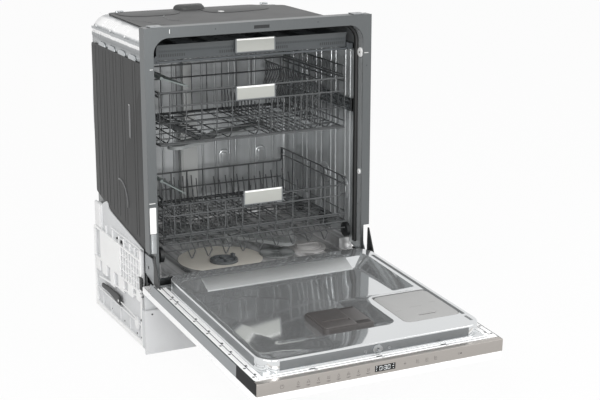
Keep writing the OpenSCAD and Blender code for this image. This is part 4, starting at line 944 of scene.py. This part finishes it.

# -------------------------------------------------------------- tub floor
# The bright tub floor rolls forward to the threshold in one soft curve and
# carries the wheels on two side ledges. The frame's sill is cut out above it
# and left as a low strip.

# the floor's base colour paints strong bands of reflection across it
floor_steel = steel_with_painted_reflections("tub_floor_steel", "C9CBCC", 0.13, 0.5, 0.75, (2, 0.04, 0.04))
curve_line = ((3, 212), (9, 211.6), (18, 208), (28, 203.4), (40, 201), (56, 200.2), (436, 200.2),
              (446, 206), (448.4, 214), (448.8, 230))
pressing = bmesh.new()
loops = [[pressing.verts.new(at(x, y, z)) for y, z in curve_line] for x in spread(-276, 276, 13)]
for near, far in zip(loops, loops[1:]):
    for i in range(len(curve_line) - 1):
        pressing.faces.new((near[i], near[i + 1], far[i + 1], far[i]))
sheet = made_piece("tub_floor_pressing", pressing)
wall = sheet.modifiers.new("wall", "SOLIDIFY")
wall.thickness = 0.9 * mm
wall.offset = -1
ledges = boards("tub_ledges", [((-277, 66, 199), (-247, 430, 227)), ((247, 66, 199), (277, 430, 227))])
complete(joined("tub_floor_sheet", [sheet, ledges]), floor_steel, "cabinet", 50, "tub_floor")

clear_selection()
sheet = bpy.data.objects.new("front_frame_sheet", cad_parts["front_frame"].data.copy())
bpy.context.scene.collection.objects.link(sheet)
sill = boards("sill_cut", [((-275.4, -4, 196), (275.4, 60, 226.2))])
cut = sheet.modifiers.new("sill", "BOOLEAN")
cut.operation = "DIFFERENCE"
cut.object = sill
clear_selection()
bpy.context.view_layer.objects.active = sheet
bpy.ops.object.modifier_apply(modifier="sill")
bpy.data.objects.remove(sill)
strip = boards("sill_strip", [((-275.4, 0.4, 190), (275.4, 2.4, 211.5))])
sheet = joined("front_frame_sheet", [sheet, strip])
complete(sheet, frame_steel, "cabinet", 30, "front_frame")

# the filter's dark cup and pale plate, the salt cap's turned steps, and the outlet's grille
filter_pale = moulded("filter_pale_plastic", "D3CFC6", 0.45, 500, 0.06, 0.06)
cup_ring = moulded("filter_ring_plastic", "5A5E60", 0.4)
salt_pale = moulded("salt_cap_plastic", "ABAAA9", 0.42)
dress("filter_plate", filter_pale)
dress("filter_cup", cup_ring)
dress("salt_cap", salt_pale)
turned = []
for r, low_z, high_z in ((49, 205, 206.4), (34, 206, 211.6), (27, 211, 212.6)):
    turned.append(disc("step", 172, -104, r, low_z, high_z, 1.2, faces_up, flat=0.1, steps=12))
complete(joined("salt_cap_steps", turned), salt_pale, "cabinet", 40)


def on_vane(turn, r):
    return 80 + r * math.cos(turn), 92 + r * math.sin(turn), 206.6


vanes = [(2.6, [on_vane(turn, 9), on_vane(turn, 43)]) for turn in spread(0, math.tau, 31)[:-1]]
fan = joined("outlet_grille", [wirework("vanes", vanes), disc("disc", 80, -92, 46, 202, 205.4, 0.8, faces_up,
                                                              flat=0.2, steps=12)])
complete(fan, moulded("outlet_grille_plastic", "777A7A", 0.4), "cabinet", 40)

# ----------------------------------------------------------- sound mats
# Bitumen sheets melted on to the tub under a dark satin foil: pressed runs
# show through as faint upright stripes, an arch and a slot.

foil = Finish("bitumen_foil")
where = object_place(foil)
drawn = foil.node("ShaderNodeMapping", {}, where, Scale=(0.3, 1, 0.02))
runs = noise(foil, drawn, 60, 3.0)
grain = noise(foil, where, 420)
stripes = foil.node("ShaderNodeValToRGB", {"stops": (
    (0.3, linear("161717")), (0.52, linear("1B1C1C")), (0.64, linear("242525")))}, runs)
bump = foil.node("ShaderNodeBump", {}, Strength=0.3, Distance=0.001, Height=runs + grain * 0.1)
foil = foil.surface(foil.node("ShaderNodeBsdfPrincipled", {}, Base_Color=stripes,
                              Roughness=0.5 + (grain - 0.5) * 0.1, Normal=bump))
# the pressed arch, slot and creases are the same foil painted lighter, as the highlight on the ridges
ridge_painted_highlight = moulded("bitumen_ridge_highlight", "6C6D6E", 0.42, 300, 0.1, 0.08)


def mirrored(corners, side):
    """A right side's outline, or for the left side its mirror image, still counter-clockwise."""
    return [(y * side, u, r) for y, u, r in (corners if side > 0 else corners[::-1])]


mats = []
ridges = []
for side, place in outer_sides:
    sheet = [(36, -265, 2), (36, -724, 3), (440, -727, 6), (442, -330, 4), (335, -302, 8), (82, -265, 4)]
    mats.append(plate("mat", mirrored(sheet, side), 281.3, 284.2, 0.8, place, steps=3))
    for y, width in ((58, 4), (74, 3), (112, 5), (128, 3), (196, 4), (214, 3), (252, 5), (272, 3), (300, 4),
                     (330, 5), (352, 3), (384, 4), (410, 3)):
        a = y * side
        low_end = -270 - max(0, (y - 82) * 0.125) - 14
        mats.append(slab("run", a - width / 2, -722, a + width / 2, low_end, width / 2 - 0.1, 284, 284.7,
                         0.6, place, steps=2))
    ridges.append(wirework("arch", [(5.2, [
        (284.3 * side, 243 - 55 * math.sin(math.radians(t)), 350 + 55 * math.cos(math.radians(t)))
        for t in range(-12, 101, 6)])]))
    a = 155 * side
    ridges.append(slab("slot", a - 5, -612, a + 5, -528, 4.9, 284, 286, 1.6, place))
top = [(-238, -444, 20), (-244, -60, 3), (-236, -36, 3), (236, -36, 3), (244, -60, 3), (244, -392, 10),
       (150, -440, 10)]
top_mats = [plate("top_mat", top, 795.3, 798.3, 1, faces_up, steps=4)]
for corners, high in ((((-58, -446, 9), (-48, -398, 14), (18, -398, 14), (30, -446, 9)), 810.5),
                      (((-226, -430, 14), (-226, -330, 60), (-60, -330, 60), (-60, -430, 14)), 799.8),
                      (((0, -436, 14), (0, -300, 60), (200, -330, 60), (170, -430, 14)), 799.8)):
    top_mats.append(plate("hump", corners[::-1], 797.6, high, 11 if high > 801 else 0.9, faces_up))
# the top sheets are the same foil painted lighter, for the light that falls on the top
top_foil_painted_light = moulded("bitumen_top_foil_lit", "3D3E3E", 0.5, 300, 0.1, 0.06)
complete(joined("top_mat_sheets", top_mats), top_foil_painted_light, "cabinet", 30)
mats.append(boards("rear_mat", [((-261, 450.4, 320), (261, 453, 749))]))
complete(joined("mat_sheets", mats), foil, "cabinet", 30, "bitumen_mats")
ridges.append(wirework("creases", [
    (2.2, [(-112, 400, 798.4), (-111, 350, 798.6), (-136, 308, 798.6), (-140, 246, 798.6),
           (-118, 214, 798.4)]),
    (1.8, [(6, 436, 798.4), (9, 344, 798.5), (30, 300, 798.3)]),
    (1.8, [(-232, 300, 798.2), (-160, 120, 798.5), (-150, 60, 798.3)])]))
complete(joined("mat_ridges", ridges), ridge_painted_highlight, "cabinet", 40)
spots = [slab("hole", x - r, -y - r * 1.3, x + r, -y + r * 1.3, r - 0.1, 799, 800.6, 0.3, faces_up)
         for x, y, r in ((35, 331, 7.5), (-258, 438, 2))]
spots += [disc("dot", side * 155, -611.4, 1.6, 285.6, 286.6, 0.3, place, flat=0.1)
          for side, place in outer_sides]
complete(joined("mat_holes", spots), cap_white, "cabinet")
brackets = [slab("bracket", x - 11, -443, x + 11, -434, 3, 797, 802.5, 1.2, faces_up)
            for x in (-206, 206)]
for side, place in outer_sides:
    for y in (362, 288, 211, 135):
        a = y * side
        brackets.append(slab("scallop", a - 25, -737, a + 25, -715, 10.9, 279.5, 283.2, 2, place))
complete(joined("tub_brackets", brackets), zinc, "cabinet")

# ------------------------------------------------------- base and plinth
# The white moulded base: at each side a flat cover, a grid of ribs,
# scalloped fins and a bottom rail stand out from a set-back wall, its shade painted into the base colour.

base_white_painted_shade = Finish("base_white_painted_shade")
where = object_place(base_white_painted_shade)
sideways = base_white_painted_shade.node("ShaderNodeSeparateXYZ", {}, where)
across = sideways.calc("ABSOLUTE", sideways)
cloud = noise(base_white_painted_shade, where, 16, 3.0)
fine = noise(base_white_painted_shade, where, 500)
# the base colour paints shade: darker the deeper a surface sits, towards the set-back wall
shaded_wall = 0.283
shade = base_white_painted_shade.node("ShaderNodeValToRGB", {"stops": (
    (0.0, linear("C2C4C5")), (0.45, linear("DDDEDF")), (0.8, linear("F0F0F0")), (1.0, linear("F8F8F7")))},
    (across - shaded_wall) * 80.0 + (cloud - 0.5) * 0.3)
bump = base_white_painted_shade.node("ShaderNodeBump", {}, Strength=0.05, Distance=0.0003, Height=fine)
base_white_painted_shade = base_white_painted_shade.surface(base_white_painted_shade.node(
    "ShaderNodeBsdfPrincipled", {}, Base_Color=shade, Roughness=0.42 + (cloud - 0.5) * 0.1, Normal=bump))
inside_white = moulded("base_inner_white", "D6D8D9", 0.45)
complete(boards("base_floor", [
    ((-289, 56, 10), (289, 449, 13)), ((-287, 84, 13), (287, 87, 84)), ((-287, 56, 13), (287, 59, 107)),
    ((-294, 60, 106), (294, 63, 156)), ((287, 56, 10), (294.6, 84, 111)), ((-294.6, 56, 10), (-287, 84, 111)),
    ((-287, 446, 10), (-224, 449, 196)), ((-176, 446, 10), (287, 449, 196)),
    ((-224, 446, 10), (-176, 449, 21)), ((-224, 446, 69), (-176, 449, 196)),
    ((-288, 86, 150), (-251, 448, 153)), ((251, 86, 150), (288, 448, 153)),
    ((-271, 110, 153), (-267, 130, 197)), ((-271, 400, 153), (-267, 420, 197)),
    ((267, 110, 153), (271, 130, 197)), ((267, 400, 153), (271, 420, 197))]),
    inside_white, "cabinet", 0, "base_tray")
sides = []
for side, place in outer_sides:
    wall = [(84, -10, 1), (84, -264, 2), (312, -298, 6), (340, -304, 6), (352, -322, 6), (384, -310, 4),
            (390, -304, 2), (427, -304, 2), (449, -296, 2), (450, -10, 2)]
    sides.append(plate("wall", mirrored(wall, side), 284, 287, 0.8, place, steps=3))
    fin_lip = [(84, -139, 0.5), (84, -143.5, 0.5), (180, -127, 2), (300, -112, 2), (414, -101, 0.5),
               (414, -97, 0.5), (300, -108, 2), (180, -123, 2)]
    sides.append(plate("lip", mirrored(fin_lip, side), 286.5, 295, 0.5, place, steps=2))
    # each rib's y and z spans, the levels of its foot and its top, and its rounded edge
    bars = [(236, 397, 152, 231, 286, 295.4, 1), (90, 448, 231, 235, 286, 295.4, 0.6),
            (84, 449, 148, 152, 286, 294.8, 0.6), (84, 91, 11, 262, 286, 294.8, 0.8),
            (443, 449, 11, 232, 286, 294.8, 0.8), (84, 449, 11, 23, 286, 295.6, 1.4),
            (92, 448, 60, 64, 286, 292, 0.6), (390, 446, 235, 303, 286, 291, 2),
            (400, 436, 238, 300, 290, 292.6, 1.4), (84, 318, 258, 262, 286, 291, 0.6),
            (104, 250, 247, 250, 286, 290, 0.5)]
    bars += [(y, y + 3.4, 152, 231, 286, 294, 0.5) for y in (98, 118, 138, 158, 178, 198, 218)]
    bars += [(91, 236, z, z + 3.4, 286, 293.6, 0.5) for z in (170, 189, 208)]
    bars += [(y, y + w, 116 + (180 - y) * 0.11 * (y < 300), 149, 286, 294.6, 0.8)
             for y, w in ((96, 24), (150, 34), (218, 40), (292, 30), (352, 36), (408, 32))]
    bars += [(y, y + 3, 235, 256, 286, 293, 0.4) for y in (104, 132, 168, 214, 250, 300, 352)]
    bars += [(y, y + 3, 23, 61, 286, 290, 0.4) for y in (128, 186, 262, 336, 404)]
    for y0, y1, z0, z1, low, high, edge in bars:
        sides.append(slab("rib", y0 * side, -z1, y1 * side, -z0, edge * 1.2, low, high, edge, place, steps=1))
    for y, z, r in ((132, 58, 17), (132, 58, 9), (368, 176, 10)):
        sides.append(disc("boss", y * side, -z, r, 286, 291.6 if r > 10 else 293, 1.2, place, flat=0.1))
complete(joined("base_sides", sides), base_white_painted_shade, "cabinet", 0)
marks = []
for side, place in outer_sides:
    for y, z, r, top in ((337, 31, 2, 288), (237, 29, 2, 288), (142, 27, 2.2, 288), (89, 34, 2, 295.4),
                         (88, 80, 3.4, 295.6), (268, 244, 3, 292.4), (240, 241, 4.4, 291), (228, 240, 3, 291),
                         (96, 190, 1.8, 295)):
        marks.append(disc("mark", y * side, -z, r, 285.5, top, 0.4, place, steps=3))
    for z in (163, 171.4, 179.8, 188.2):
        marks.append(slab("buffer", 294 * side, -z - 7.6, 299 * side, -z, 1.6, -80, -66, 1.6, upright,
                          steps=3))
    marks.append(slab("buffer", 294 * side, -194, 298.6 * side, -164, 1.2, -82, -68, 1.2, upright, steps=3))
complete(joined("base_rubber_parts", marks), black_plastic, "cabinet")
dress("plinth", moulded("plinth_paint", "D6D7D8", 0.35))
screws = [disc("screw", x, -105, 2.2, -50.2, -49.7, 0.2, upright, steps=4) for x in (-279, 279)]
complete(joined("plinth_screws", screws), black_plastic, "cabinet")

# balance levers: a tapered black arm and hub, with a white pin and pull rod
reach = 294.6
for side, place, body in ((1, faces_right, "link_right"), (-1, faces_left, "link_left")):
    arm = [(392, -76, 5), (392, -88, 5), (330, -93, 30), (262, -95, 12), (240, -92, 10), (240, -70, 10),
           (262, -67, 12), (330, -78, 30)]
    lever = plate("lever", mirrored(arm[::-1], side), reach - 2, reach + 2.2, 1.6, place, steps=5)
    hub = disc("hub", 251 * side, -81, 9, reach + 1, reach + 3.6, 1.2, place, flat=0.1)
    complete(joined(body + "_lever", [lever, hub]), black_plastic, body, 30,
             "balance_" + body)
    pin = disc("hub_pin", 251 * side, -81, 3.4, reach + 3, reach + 4.6, 0.8, place, flat=0.1)
    rod = wirework("pull_rod", [(3, [(reach * side, y, z) for y, z in ((246, 80), (180, 77), (112, 72))])])
    complete(joined(body + "_rod", [pin, rod]), cap_white, body, 40)

dark_iron = moulded("cast_weight", "3A3B3C", 0.7)
pump_grey = moulded("pump_plastic", "7C8083", 0.5)
foot_grey = moulded("foot_plastic", "5A5C5E", 0.5)
dress("counterweight", dark_iron)
dress("sump", pump_grey)
dress("circulation_pump", pump_grey)
dress("drain_pump", black_plastic)
dress("softener", white_plastic)
dress("inlet_valve", white_plastic)
dress("harness_cable", moulded("harness_sleeve", "B9BBBD", 0.5))
for name in ("foot_front_left", "foot_front_right", "feet_rear"):
    dress(name, foot_grey)
for name in ("hinge_plates", "hinge_arms"):
    dress(name, galvanised)

# --------------------------------------------------------- middle basket
# The same coated wire: a stepped floor for cups and bowls, kinked tines
# right of the middle, and a raised guard rail along the right side.

mid = []
for side in (-248, 248):
    for d, z in ((5, 655), (4, 645), (3.6, 580), (3.6, 544), (4, 527)):
        mid.append((d, [(side, 44, z), (side, 406, z)]))
    for y in spread(46, 404, 12):
        mid.append((3.2, [(side, y, 655), (side, y, 527), (side - math.copysign(20, side), y, 526)]))
for z, d in ((655, 4.4), (621, 4), (580, 3.8), (528, 4)):
    mid.append((d, [(-247, 44, z), (247, 44, z)]))
    mid.append((d, [(-247, 406, z), (247, 406, z)]))
for x in spread(-240, 240, 12):
    mid.append((3.2, [(x, 406, 655), (x, 406, 526), (x, 390, 526)]))
for x in (-222, -180, -140, -100, -60, 12, 176, 210):
    mid.append((3.2, [(x, 44, 655), (x, 44, 580), (x, 52, 540), (x, 70, 526), (x, 400, 526)]))
for x in (46, 62, 78, 94, 110, 126, 142, 158):
    mid.append((3.2, [(x, 44, 621), (x, 44, 580), (x, 50, 540), (x, 62, 526), (x, 400, 526)]))
for y in (60, 110, 170, 226, 286, 350, 392):
    mid.append((3.4, [(-246, y, 528), (246, y, 528)]))
for y in spread(76, 380, 12):
    mid.append((3, [(-236, y, 587), (-202, y, 556), (-139, y, 534), (-96, y, 528)]))
for x, z in ((-236, 589), (-202, 558), (-139, 536)):
    mid.append((3.4, [(x, 50, z), (x, 400, z)]))
for y in spread(66, 388, 23):
    mid.append((3, [(196, y, 528), (200, y, 560), (180, y, 590), (196, y, 624), (190, y, 650)]))
mid.append((3.6, [(190, 50, 650), (190, 404, 650)]))
complete(wirework("middle_basket_wires", mid), wire_coat, "mid", 60, "mid_basket")

folding = [(4, [(64, 66, 530.9), (64, 388, 530.9)])]
for y in range(72, 381, 22):
    folding.append((3.2, [(64, y, 531), (64, y, 556), (62, y, 586)]))
complete(wirework("middle_folding_tines", folding), wire_coat, "mid_tines", 60, "mid_tines")

guard = [(4, [(248, 48, 657), (248, 48, 684), (248, 400, 684), (248, 400, 657)]),
         (3.4, [(248, 48, 661), (248, 400, 661)])]
for y in spread(60, 388, 13):
    guard.append((3, [(248, y, 659), (248, y, 684)]))
for y in (190, 338):
    guard.append((4, [(-248, y, 657), (-248, y, 692)]))
    guard.append((7, [(-248, y, 690), (-238, y, 690)]))
complete(wirework("middle_guard_wires", guard), wire_coat, "mid", 60, "mid_guard")
